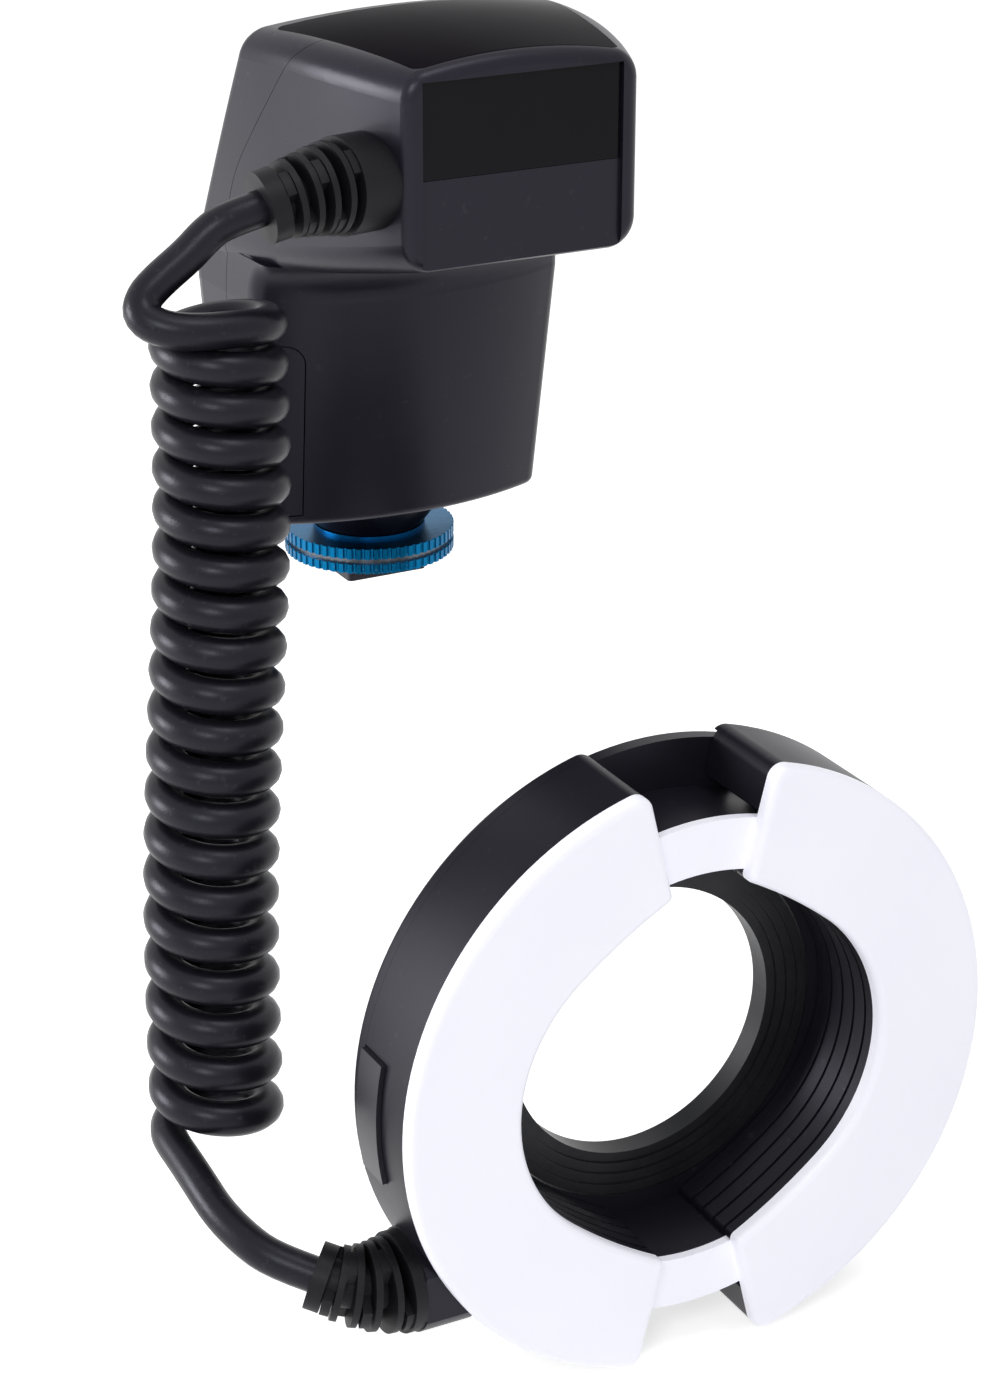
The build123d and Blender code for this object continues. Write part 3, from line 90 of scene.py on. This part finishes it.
# Curly cord: one rubber-sheathed wire, wound hot into a spring. It leaves the control unit's
# strain relief, turns down into the coil, and runs from the coil's foot to the ring head.
class Link:
    """A socket of a finish's nodes; arithmetic on it adds Math nodes."""

    def __init__(self, maker, socket):
        self.maker = maker
        self.socket = socket

    def __add__(self, other):
        return self.maker.sum("ADD", self, other)

    def __radd__(self, other):
        return self.maker.sum("ADD", other, self)

    def __sub__(self, other):
        return self.maker.sum("SUBTRACT", self, other)

    def __rsub__(self, other):
        return self.maker.sum("SUBTRACT", other, self)

    def __mul__(self, other):
        return self.maker.sum("MULTIPLY", self, other)

    def __rmul__(self, other):
        return self.maker.sum("MULTIPLY", other, self)


class Maker:
    """Adds nodes to a material or to the surround, one call at a time."""

    def __init__(self, tree):
        self.tree = tree

    def node(self, kind, settings, values, output=0):
        """Adds a node: its settings come first, then the values or links of its sockets."""
        made = self.tree.nodes.new(kind)
        for key, value in settings.items():
            setattr(made, key, value)
        for key, value in values.items():
            self.join(made.inputs[key], value)
        return Link(self, made.outputs[output])

    def join(self, socket, value):
        """Sets a socket, or links it."""
        if isinstance(value, Link):
            self.tree.links.new(value.socket, socket)
        else:
            socket.default_value = value

    def sum(self, operation, first, second):
        """One Math node."""
        return self.node("ShaderNodeMath", {"operation": operation}, {0: first, 1: second})


class Finish(Maker):
    """A material for one kind of surface, with its steady values set by name."""

    def __init__(self, name, **constants):
        self.material = bpy.data.materials.new(name)
        self.material.use_nodes = True
        super().__init__(self.material.node_tree)
        self.surface = self.tree.nodes["Principled BSDF"]
        for socket, value in constants.items():
            self.surface.inputs[socket.replace("_", " ")].default_value = value
        self.place = self.node("ShaderNodeTexCoord", {}, {}, "Object")

    def mix(self, share, first, second):
        """Colour between two colours."""
        sockets = {0: share, 6: first, 7: second}
        return self.node("ShaderNodeMix", {"data_type": "RGBA"}, sockets, 2)

    def noise(self, size, detail=3.0, stretch=(1, 1, 1)):
        """Noise whose features are about this many metres across."""
        place = self.node("ShaderNodeMapping", {}, {"Vector": self.place, "Scale": stretch})
        sockets = {"Vector": place, "Scale": 1 / size, "Detail": detail}
        return self.node("ShaderNodeTexNoise", {}, sockets)

    def ramp(self, value, low, high):
        """0 below the low value, 1 above the high one."""
        sockets = {"Value": value, "From Min": low, "From Max": high}
        return self.node("ShaderNodeMapRange", {}, sockets)

    def bump(self, height, depth):
        """Normal for a height of this depth in metres."""
        return self.node("ShaderNodeBump", {}, {"Height": height, "Distance": depth})

    def set(self, **links):
        """Joins the surface's changing sockets."""
        for socket, value in links.items():
            self.join(self.surface.inputs[socket.replace("_", " ")], value)
        return self.material


black_sheen = (0.86, 0.84, 1.0, 1)
rubber_dark = (0.005, 0.005, 0.008, 1)
rubber_pale = (0.010, 0.010, 0.014, 1)
rubber_dust_grey = (0.06, 0.06, 0.065, 1)
rubber = Finish("cord_rubber", IOR=1.5, Specular_IOR_Level=0.24, Specular_Tint=black_sheen)
rubber_grain = rubber.noise(size=0.00035, detail=4)
rubber_cloud = rubber.noise(size=0.012)
rubber_dust = rubber.ramp(rubber.noise(size=0.0015, detail=6), low=0.62, high=0.72)
rubber_tone = rubber.mix(rubber_cloud, rubber_dark, rubber_pale)
cord_rubber = rubber.set(
    Base_Color=rubber.mix(rubber_dust * 0.25, rubber_tone, rubber_dust_grey),
    Roughness=0.28 + rubber_cloud * 0.10 + rubber_dust * 0.15,
    Normal=rubber.bump(rubber_grain, depth=0.00003),
)

drawn_radius = 0.00352
coil_radius = 0.0097
coil_turns = 19.8264
coil_start_turn = 27.5 / 360
coil_pitch = 0.0075
coil_spread = 0.0068
coil_spread_power = 4
coil_span = 19.0
coil_top = Vector((-0.0593, -0.0595, 0.0799))
coil_lean = Vector((-0.0168, -0.0270, 0))
coil_sway = 0.001
coil_first_turn = math.radians(242.5)
points_a_turn = 16
coil_guide_radius = coil_radius / math.cos(math.pi / points_a_turn)
cord_exit = Vector((-0.05114, -0.06263, 0.09966))
cord_route = [
    cord_exit,
    Vector((-0.05818, -0.06241, 0.09818)),
    Vector((-0.06158, -0.06160, 0.09596)),
    Vector((-0.06566, -0.06160, 0.09226)),
    Vector((-0.07100, -0.06130, 0.08850)),
    Vector((-0.07500, -0.06150, 0.08520)),
    Vector((-0.07640, -0.06380, 0.08220)),
    Vector((-0.07320, -0.06740, 0.08040)),
    Vector((-0.06720, -0.06960, 0.07970)),
]
point_count = round((coil_turns - coil_start_turn) * points_a_turn)
for index in range(point_count + 1):
    turns = coil_start_turn + index / points_a_turn
    share = turns / coil_span
    angle = coil_first_turn + math.tau * turns
    sway = Vector((coil_sway * math.sin(math.tau * share), 0, 0))
    drop = Vector((0, 0, coil_pitch * turns + coil_spread * share**coil_spread_power))
    arm = Vector((math.cos(angle), math.sin(angle), 0)) * coil_guide_radius
    cord_route.append(coil_top + coil_lean * share + sway - drop + arm)
cord_route += [
    Vector((-0.08632, -0.09440, -0.07784)),
    Vector((-0.08639, -0.10182, -0.07893)),
    Vector((-0.08600, -0.10980, -0.08120)),
    Vector((-0.08390, -0.11760, -0.08350)),
    Vector((-0.08084, -0.12368, -0.08537)),
    Vector((-0.07475, -0.12836, -0.08761)),
]
cord_curve = bpy.data.curves.new("cord_route", "CURVE")
cord_curve.dimensions = "3D"
spline = cord_curve.splines.new("NURBS")
spline.points.add(len(cord_route) - 1)
for point, place in zip(spline.points, cord_route):
    point.co = (*place, 1)
spline.order_u = 3
spline.use_endpoint_u = True
spline.resolution_u = 4
route_piece = bpy.data.objects.new("cord_route", cord_curve)
bpy.context.collection.objects.link(route_piece)


def read_mesh(piece):
    """The mesh that a curve gives as it is set now."""
    bpy.context.view_layer.update()
    seen = piece.evaluated_get(bpy.context.evaluated_depsgraph_get())
    return bpy.data.meshes.new_from_object(seen)


cord_path = [vertex.co.copy() for vertex in read_mesh(route_piece).vertices]
cord_curve.bevel_depth = drawn_radius
cord_curve.bevel_resolution = 5
cord_curve.use_fill_caps = True
cord_mesh = read_mesh(route_piece)
bpy.data.objects.remove(route_piece)
cord_mesh.polygons.foreach_set("use_smooth", [True] * len(cord_mesh.polygons))
cord_mesh.materials.clear()
cord_mesh.materials.append(cord_rubber)
cord = bpy.data.objects.new("curly_cord", cord_mesh)
bpy.context.collection.objects.link(cord)
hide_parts("cord_upper_lead", "cord_coil", "cord_lower_lead")
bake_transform(cord)


# Strain reliefs: soft black sleeves moulded over the wire at both ends, slotted so that they
# bend. The lower one is fixed in the boss on the ring head's left half.
def dress(material, *names):
    """Gives CAD nodes a finish."""
    for name in names:
        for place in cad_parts[name].material_slots:
            place.material = material


sleeve = Finish("relief_rubber", IOR=1.5, Specular_IOR_Level=0.2)
sleeve_grain = sleeve.noise(size=0.0004, detail=4)
sleeve_cloud = sleeve.noise(size=0.006)
relief_rubber = sleeve.set(
    Base_Color=sleeve.mix(sleeve_cloud, (0.004, 0.004, 0.006, 1), (0.008, 0.008, 0.011, 1)),
    Roughness=0.42 + sleeve_cloud * 0.14,
    Normal=sleeve.bump(sleeve_grain, depth=0.00004),
)
dress(relief_rubber, "upper_strain_relief", "lower_strain_relief")


# Control unit's case: two shells of black moulded plastic with a fine spark-eroded grain,
# screwed together from behind. The battery door and the collar above the lock wheel are
# moulded in the same plastic.
rubbed_grey = (0.07, 0.07, 0.075, 1)


def moulded(name, dark, pale, roughness, grain_size, grain_depth, specular):
    """Black plastic with a moulded-in grain, faint clouding and a few rubbed specks."""
    plastic = Finish(name, IOR=1.5, Specular_IOR_Level=specular, Specular_Tint=black_sheen)
    grain = plastic.noise(size=grain_size, detail=2)
    cloud = plastic.noise(size=0.02)
    rubbed = plastic.ramp(plastic.noise(size=0.0022, detail=8), low=0.66, high=0.74)
    return plastic.set(
        Base_Color=plastic.mix(rubbed * 0.2, plastic.mix(cloud, dark, pale), rubbed_grey),
        Roughness=roughness + cloud * 0.08 - rubbed * 0.06,
        Normal=plastic.bump(grain, depth=grain_depth),
    )


case_black = moulded(
    "case_black", dark=(0.007, 0.006, 0.011, 1), pale=(0.012, 0.011, 0.018, 1),
    roughness=0.28, grain_size=0.00028, grain_depth=0.000006, specular=0.27)
dress(case_black, "front_shell", "rear_cover", "battery_door", "foot_collar")

# Top panel: a plate of black acrylic, polished on its outer face. It is let flush into the
# head's top and glued there, and it picks up fine hair scratches along its length.
polished = Finish("polished_black", IOR=1.05, Specular_IOR_Level=0.15)
polish_cloud = polished.noise(size=0.015)
polish_hair = polished.ramp(polished.noise(size=0.004, detail=8, stretch=(1, 9, 1)), low=0.62, high=0.75)
polished_black = polished.set(
    Base_Color=polished.mix(polish_cloud, (0.006, 0.005, 0.007, 1), (0.010, 0.008, 0.012, 1)),
    Roughness=0.07 + polish_hair * 0.10 + polish_cloud * 0.03,
)
dress(polished_black, "top_panel")

# Transceiver window and display window: plates of infrared-black acrylic, polished outside.
# Both sit in recesses of the case, one in front and one on the slanted rear.
tinted = Finish("dark_window", IOR=1.2, Specular_IOR_Level=0.5)
tint_cloud = tinted.noise(size=0.02)
dark_window = tinted.set(
    Base_Color=tinted.mix(tint_cloud, (0.003, 0.003, 0.004, 1), (0.006, 0.005, 0.008, 1)),
    Roughness=0.05 + tinted.ramp(tinted.noise(size=0.0016, detail=7), low=0.6, high=0.75) * 0.08,
)
dress(dark_window, "transceiver_window", "display_window")

# Display panel: a flat grey-green module, made as a sandwich of thin glass. It stands behind the
# display window, against the ledge round it.
module = Finish("display_grey", IOR=1.5)
display_grey = module.set(
    Base_Color=module.mix(module.noise(size=0.003), (0.25, 0.27, 0.26, 1), (0.35, 0.38, 0.36, 1)),
    Roughness=0.3 + module.noise(size=0.001) * 0.2,
)
dress(display_grey, "display_panel")

# Dial and push buttons on the slanted rear: moulded satin plastic, the small buttons a few
# shades paler. The dial turns round the set button, and the buttons press in on springs.
dial_black = moulded(
    "dial_black", dark=(0.010, 0.010, 0.013, 1), pale=(0.018, 0.018, 0.022, 1),
    roughness=0.28, grain_size=0.00025, grain_depth=0.000012, specular=0.5)
dress(dial_black, "control_dial", "set_button")
button_grey = moulded(
    "button_grey", dark=(0.09, 0.09, 0.10, 1), pale=(0.13, 0.13, 0.14, 1),
    roughness=0.38, grain_size=0.0003, grain_depth=0.000012, specular=0.5)
dress(button_grey, "lamp_button", "power_button", "test_button")


# Marks on the slanted rear: pale ink, pad-printed as signs on the small buttons and as arrows
# on the dial. Each sign rides on the button or dial that carries it.
slope_turn = math.radians(27.7)
slope_origin = Vector((0, 0.0095, 0.0695))
slope_out = Vector((0, math.cos(slope_turn), math.sin(slope_turn)))
slope_up = Vector((0, -math.sin(slope_turn), math.cos(slope_turn)))
print_lift = 0.00006
button_top = 0.0009
dial_top = 0.0020
dial_up = 0.0135
sign_size = 0.0012
sign_line = 0.00028
arc_strokes = 14


def add_piece(name, points, faces, material, body):
    """A new piece that rides on a body and takes its finish from a slot."""
    mesh = bpy.data.meshes.new(name)
    mesh.from_pydata(points, [], faces)
    mesh.materials.append(material)
    piece = bpy.data.objects.new(name, mesh)
    bpy.context.collection.objects.link(piece)
    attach(piece, body)


def on_slope(left, up, out):
    """A place on the slanted rear, in metres from the slope's origin."""
    return slope_origin - Vector((left, 0, 0)) + slope_up * up + slope_out * out


def flat_print(name, rings, lift, material, body):
    """Closed outlines on the slanted rear, printed at a height above it."""
    points, faces = [], []
    for ring in rings:
        first = len(points)
        for height in (lift - print_lift, lift + print_lift):
            points += [on_slope(left, up, height) for left, up in ring]
        count = len(ring)
        faces.append(list(range(first + count, first + 2 * count)))
        faces.append(list(range(first + count - 1, first - 1, -1)))
        for index in range(count):
            after = (index + 1) % count
            faces.append([first + index, first + after, first + count + after, first + count + index])
    add_piece(name, points, faces, material, body)


def bar(start, end, width):
    """Outline of a straight stroke."""
    start, end = Vector(start), Vector(end)
    across = (end - start).orthogonal().normalized() * width / 2
    return [tuple(start + across), tuple(start - across), tuple(end - across), tuple(end + across)]


def arc(centre, radius, first, last, width):
    """Strokes along an arc, in degrees from the slope's up direction."""
    turns = [math.radians(first + (last - first) * index / arc_strokes)
             for index in range(arc_strokes + 1)]
    places = [(centre[0] + radius * math.sin(turn), centre[1] + radius * math.cos(turn))
              for turn in turns]
    return [bar(start, end, width) for start, end in zip(places, places[1:])]


ink = Finish("pale_print", IOR=1.5)
pale_print = ink.set(
    Base_Color=ink.mix(ink.noise(size=0.0004), (0.62, 0.62, 0.64, 1), (0.74, 0.74, 0.76, 1)),
    Roughness=0.5 + ink.noise(size=0.0002) * 0.1,
)

power_place = Vector((-0.022, 0.008))
power_gap_degrees = 40
power_stroke_share = 1.25
power_stroke_top = power_place + Vector((0, sign_size * power_stroke_share))
power_sign = arc(power_place, sign_size, power_gap_degrees, 360 - power_gap_degrees, sign_line)
power_sign.append(bar(power_place, power_stroke_top, sign_line))
flat_print("power_sign", power_sign, button_top, pale_print, "power_button")

test_place = Vector((-0.022, 0.019))
bolt_shares = [(0.2, 1.3), (-0.7, -0.15), (-0.05, -0.15), (-0.3, -1.3), (0.7, 0.2), (0.05, 0.2)]
bolt = [tuple(test_place + Vector(shares) * sign_size) for shares in bolt_shares]
flat_print("test_sign", [bolt], button_top, pale_print, "test_button")

lamp_place = Vector((0.022, 0.019))
bulb_share = 0.8
bulb_degrees = 140
socket_width_share = 0.4
socket_drop_share = 1.1
socket_middle = lamp_place - Vector((0, sign_size * socket_drop_share))
socket_half = Vector((sign_size * socket_width_share, 0))
lamp_sign = arc(lamp_place, sign_size * bulb_share, -bulb_degrees, bulb_degrees, sign_line)
lamp_sign.append(bar(socket_middle - socket_half, socket_middle + socket_half, sign_line))
flat_print("lamp_sign", lamp_sign, button_top, pale_print, "lamp_button")

arrow_reach = 0.0082
arrow_size = 0.0009
arrows = []
for turn in (0, math.pi / 2, math.pi, -math.pi / 2):
    point = Vector((math.sin(turn), math.cos(turn)))
    side = Vector((point.y, -point.x))
    centre = Vector((0, dial_up)) + point * arrow_reach
    tips = (centre + point * arrow_size, centre + side * arrow_size, centre - side * arrow_size)
    arrows.append([tuple(tip) for tip in tips])
flat_print("dial_arrows", arrows, dial_top, pale_print, "control_dial")

# What the display shows: a plain bar scale with blocks above it, in pale blue light. Its thin
# lit strokes lie in the outer face of the display window.
glow = Finish("display_glow", Emission_Strength=0.7)
glow_colour = glow.mix(glow.noise(size=0.002), (0.50, 0.62, 0.74, 1), (0.62, 0.74, 0.84, 1))
display_glow = glow.set(
    Base_Color=glow_colour,
    Emission_Color=glow_colour,
    Roughness=0.4 + glow.noise(size=0.001) * 0.1,
)
display_up = 0.038
bar_step = 0.0032
bar_foot = display_up - 0.0050
bar_top = display_up - 0.0022
bar_rise = 0.0006
bar_width = 0.0011
rule_reach = 0.0115
rule_heights = (display_up - 0.0064, display_up + 0.0030)
rule_width = 0.0003
block_foot = display_up + 0.0042
block_top = display_up + 0.0062
block_width = 0.0018
display_strokes = []
for index in range(-3, 4):
    left = index * bar_step
    display_strokes.append(bar((left, bar_foot), (left, bar_top + abs(index) * bar_rise), bar_width))
for up in rule_heights:
    display_strokes.append(bar((-rule_reach, up), (rule_reach, up), rule_width))
for left in (-0.009, -0.006, 0.006, 0.009):
    display_strokes.append(bar((left, block_foot), (left, block_top), block_width))
flat_print("display_scale", display_strokes, 0.0, display_glow, "control_unit")


# Pins and screws: turned from steel and left bright. The battery door turns on one pin, the other
# slides in the foot, and the screws hold the case, its collar and the ring head's halves.
def turned(name, dark, pale, roughness):
    """Machined metal with fine tool lines and faint staining."""
    metal = Finish(name, Metallic=1.0)
    lines = metal.noise(size=0.0012, detail=5, stretch=(1, 1, 14))
    stain = metal.noise(size=0.004)
    return metal.set(
        Base_Color=metal.mix(stain, dark, pale),
        Roughness=roughness + lines * 0.18,
        Normal=metal.bump(lines, depth=0.000012),
    )


steel = turned("steel", dark=(0.46, 0.46, 0.48, 1), pale=(0.62, 0.62, 0.63, 1), roughness=0.18)
dress(steel, "door_hinge_pin", "case_screws", "foot_screws", "locking_pin",
      "guide_screws_left", "guide_screws_right")

# Cross recesses: stamped into the heads of the two case screws and of the two guide screws on
# each ring half. Each is drawn as painted shade: a thin dark cross laid on the screw head, in
# place of the shade inside the recess.
recess_painted_shade = moulded(
    "recess_painted_shade", dark=(0.010, 0.010, 0.011, 1), pale=(0.02, 0.02, 0.021, 1),
    roughness=0.5, grain_size=0.0003, grain_depth=0.00001, specular=0.2)
cross_width = 0.00055
cross_share = 0.62
cross_lift = 0.00003
block_faces = ((0, 1, 2, 3), (7, 6, 5, 4), (0, 4, 5, 1), (1, 5, 6, 2), (2, 6, 7, 3), (3, 7, 4, 0))
screw_bodies = {
    "case_screws": "control_unit",
    "guide_screws_left": "left_half",
    "guide_screws_right": "right_half",
}
for node, body in screw_bodies.items():
    low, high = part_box(node)
    head_radius = min(high[0] - low[0], high[2] - low[2]) / 2
    near_centre = (low[0] + head_radius, low[2] + head_radius)
    far_centre = (high[0] - head_radius, high[2] - head_radius)
    stroke = (head_radius * cross_share, cross_width / 2)
    points, faces = [], []
    for x, z in (near_centre, far_centre):
        for reach_x, reach_z in (stroke, stroke[::-1]):
            first = len(points)
            for y in (high[1] - cross_lift, high[1] + cross_lift):
                points += [(x - reach_x, y, z - reach_z), (x + reach_x, y, z - reach_z),
                           (x + reach_x, y, z + reach_z), (x - reach_x, y, z + reach_z)]
            faces += [[first + corner for corner in face] for face in block_faces]
    add_piece(f"{node}_recesses", points, faces, recess_painted_shade, body)

# Contacts: brass pins let into the foot's underside, and brass plates against the far ends of
# the cells. Both are machined and lightly stained by handling.
brass = turned("brass", dark=(0.62, 0.44, 0.18, 1), pale=(0.80, 0.62, 0.30, 1), roughness=0.16)
dress(brass, "foot_contacts", "battery_contacts")

# Magazine and cells: two end caps on a rod, moulded in the case's plastic, hold four cells in
# shrunk sleeves. The main capacitor wears such a sleeve too, and the transformer is potted in
# black resin.
dress(case_black, "battery_magazine")
dress(polished_black, "transformer")
wrap = Finish("cell_wrap", IOR=1.5, Coat_Weight=0.4)
wrap_band = wrap.noise(size=0.008)
cell_wrap = wrap.set(
    Base_Color=wrap.mix(wrap_band, (0.02, 0.024, 0.035, 1), (0.05, 0.055, 0.07, 1)),
    Roughness=0.22 + wrap_band * 0.1,
)
dress(cell_wrap, "battery_cells", "main_capacitor")

# Circuit boards: glass-fibre plates under a green solder mask, with the tracks showing as
# paler streaks. Two lie in the case, and one in each half of the ring head carries its lamps.
mask = Finish("board_green", IOR=1.5)
tracks = mask.ramp(mask.noise(size=0.0016, detail=2, stretch=(1, 5, 1)), low=0.48, high=0.52)
board_green = mask.set(
    Base_Color=mask.mix(tracks, (0.008, 0.07, 0.03, 1), (0.015, 0.12, 0.05, 1)),
    Roughness=0.3 + tracks * 0.12,
    Normal=mask.bump(tracks, depth=0.00003),
)
dress(board_green, "main_board", "radio_board", "lamp_board_left", "lamp_board_right")

# Shoe foot: moulded in glass-filled black plastic, duller than the case and coarser in its
# grain. Its stem runs up through the lock wheel to the collar.
foot_black = moulded(
    "foot_black", dark=(0.012, 0.012, 0.014, 1), pale=(0.02, 0.02, 0.023, 1),
    roughness=0.45, grain_size=0.0004, grain_depth=0.00002, specular=0.45)
dress(foot_black, "shoe_foot")

# Lock wheel: turned aluminium, knurled on its two rims and anodised bright blue, with a band
# of darkened steel pressed into the groove between the rims.
wheel_dark = (0.002, 0.11, 0.25, 1)
wheel_bright = (0.004, 0.15, 0.33, 1)
wheel_rubbed = (0.20, 0.46, 0.64, 1)
anodised = Finish("wheel_blue", Metallic=1.0)
wheel_lines = anodised.noise(size=0.0011, detail=4, stretch=(1, 1, 10))
wheel_cloud = anodised.noise(size=0.006)
wheel_worn = anodised.ramp(anodised.noise(size=0.0012, detail=6), low=0.64, high=0.74)
wheel_tone = anodised.mix(wheel_cloud, wheel_dark, wheel_bright)
wheel_blue = anodised.set(
    Base_Color=anodised.mix(wheel_worn * 0.3, wheel_tone, wheel_rubbed),
    Roughness=0.24 + wheel_lines * 0.16,
    Normal=anodised.bump(wheel_lines, depth=0.00002),
)
dress(wheel_blue, "lock_wheel")
band_steel = turned("band_steel", dark=(0.10, 0.11, 0.12, 1), pale=(0.16, 0.17, 0.19, 1), roughness=0.22)
dress(band_steel, "lock_wheel_band")

# Ring head's housings, covers and centre frame: moulded in satin black plastic, a little duller
# than the control unit's. The halves slide on the frame, each with a release button in its side.
ring_black = moulded(
    "ring_black", dark=(0.006, 0.006, 0.009, 1), pale=(0.010, 0.009, 0.014, 1),
    roughness=0.34, grain_size=0.0003, grain_depth=0.000006, specular=0.25)
dress(ring_black, "ring_housing_left", "ring_housing_right", "ring_cover_left", "ring_cover_right",
      "ring_centre_frame")
dress(dial_black, "release_button_left", "release_button_right")

# Diffusers: moulded in opal acrylic with a faint violet cast, and smooth outside. Each half
# wears one over its tube and lamps, and two small ones bridge the notches between the halves.
# Painted glow: the opal gives off a faint light of its own, at a strength of 0.34 in its own colour, so
# that the diffusers show brighter than the lamps alone make them.
opal = Finish("diffuser_white", IOR=1.49, Emission_Strength=0.34, Coat_Weight=0.1)
opal_cloud = opal.noise(size=0.03)
opal_fine = opal.noise(size=0.0009, detail=5)
opal_and_glow_colour = opal.mix(opal_cloud, (0.77, 0.77, 0.85, 1), (0.82, 0.82, 0.89, 1))
diffuser_white = opal.set(
    Base_Color=opal_and_glow_colour,
    Emission_Color=opal_and_glow_colour,
    Roughness=0.34 + opal_fine * 0.12,
    Normal=opal.bump(opal_fine, depth=0.000012),
)
dress(diffuser_white, "diffuser_left", "diffuser_right", "bridge_diffusers")

# Adapter ring: turned from aluminium and anodised black. Its stepped face sits in the bore of
# the ring head's centre frame, and the thread behind it screws into a lens.
ringed = Finish("adapter_black", Metallic=0.6, IOR=1.5)
ring_lines = ringed.noise(size=0.0012, detail=4, stretch=(1, 9, 1))
adapter_black = ringed.set(
    Base_Color=ringed.mix(ringed.noise(size=0.01), (0.012, 0.012, 0.014, 1), (0.028, 0.028, 0.032, 1)),
    Roughness=0.3 + ring_lines * 0.2,
    Normal=ringed.bump(ring_lines, depth=0.00002),
)
dress(adapter_black, "adapter_ring")

# Behind the diffusers: reflectors pressed from polished aluminium sheet, flash tubes bent from
# glass, and clear resin modelling lamps on the lamp boards.
bright = turned("reflector_silver", dark=(0.78, 0.78, 0.80, 1), pale=(0.88, 0.88, 0.89, 1), roughness=0.08)
dress(bright, "reflector_left", "reflector_right")
clear = Finish("tube_glass", IOR=1.47, Transmission_Weight=0.8)
tube_glass = clear.set(
    Base_Color=clear.mix(clear.noise(size=0.01), (0.86, 0.86, 0.84, 1), (0.94, 0.94, 0.93, 1)),
    Roughness=0.04 + clear.noise(size=0.003) * 0.06,
)
dress(tube_glass, "flash_tube_left", "flash_tube_right")
lens = Finish("light_clear", IOR=1.5)
light_clear = lens.set(
    Base_Color=lens.mix(lens.noise(size=0.002), (0.88, 0.87, 0.78, 1), (0.96, 0.95, 0.88, 1)),
    Roughness=0.12 + lens.noise(size=0.001) * 0.1,
)
dress(light_clear, "modelling_lights_left", "modelling_lights_right")

# Floor: a plain pale sheet just below the ring head's lowest point. It shows white where it is
# seen or mirrored, and takes the flash's shadow.
floor_reach = 12.0
floor_drop = 0.002
floor_level = cad_low[2] - floor_drop
floor_mesh = bpy.data.meshes.new("floor")
corner_signs = ((-1, -1), (1, -1), (1, 1), (-1, 1))
corners = [(floor_reach * x, floor_reach * y, floor_level) for x, y in corner_signs]
floor_mesh.from_pydata(corners, [], [(0, 1, 2, 3)])
floor = bpy.data.objects.new("floor", floor_mesh)
bpy.context.collection.objects.link(floor)


def white_share(maker):
    """1 for what is seen, mirrored or looked at through glass, and 0 for what only gives light."""
    seen = maker.node("ShaderNodeLightPath", {}, {}, "Is Camera Ray")
    mirrored = maker.node("ShaderNodeLightPath", {}, {}, "Is Glossy Ray")
    through = maker.node("ShaderNodeLightPath", {}, {}, "Is Transmission Ray")
    return 1 - (1 - seen) * (1 - mirrored) * (1 - through)


paper = Finish("floor_paper", Roughness=0.9, Specular_IOR_Level=0.0, Emission_Strength=0.66)
paper.set(
    Base_Color=paper.mix(paper.noise(size=0.004), (0.90, 0.90, 0.90, 1), (0.92, 0.92, 0.92, 1)),
    Emission_Color=paper.mix(white_share(paper), (0, 0, 0, 1), (1, 1, 1, 1)),
)
floor_mesh.materials.append(paper.material)

# Light: a pale studio surround that shows white, and three square soft boxes that face the
# flash. The strongest is at the left, the others in front and overhead.
surround_glow = 0.36
world = bpy.data.worlds.new("surround")
world.use_nodes = True
bpy.context.scene.world = world
surround = Maker(world.node_tree)
background = world.node_tree.nodes["Background"]
background.inputs["Color"].default_value = (1, 1, 1, 1)
brightness = surround_glow + white_share(surround) * (1 - surround_glow)
surround.join(background.inputs["Strength"], brightness)

aim = Vector((-0.02, -0.06, 0.01))
soft_boxes = {
    "left_box": ((-1.0, 0.45, 0.20), 0.45, 9.0),
    "front_box": ((-0.75, -1.0, 0.80), 0.40, 5.5),
    "top_box": ((0.2, -0.5, 1.4), 0.50, 4.0),
}
for name, (place, side, power) in soft_boxes.items():
    lamp = bpy.data.lights.new(name, "AREA")
    lamp.shape = "SQUARE"
    lamp.size = side
    lamp.energy = power
    box = bpy.data.objects.new(name, lamp)
    bpy.context.collection.objects.link(box)
    box.location = place
    box.rotation_mode = "QUATERNION"
    box.rotation_quaternion = (aim - Vector(place)).to_track_quat("-Z", "Y")
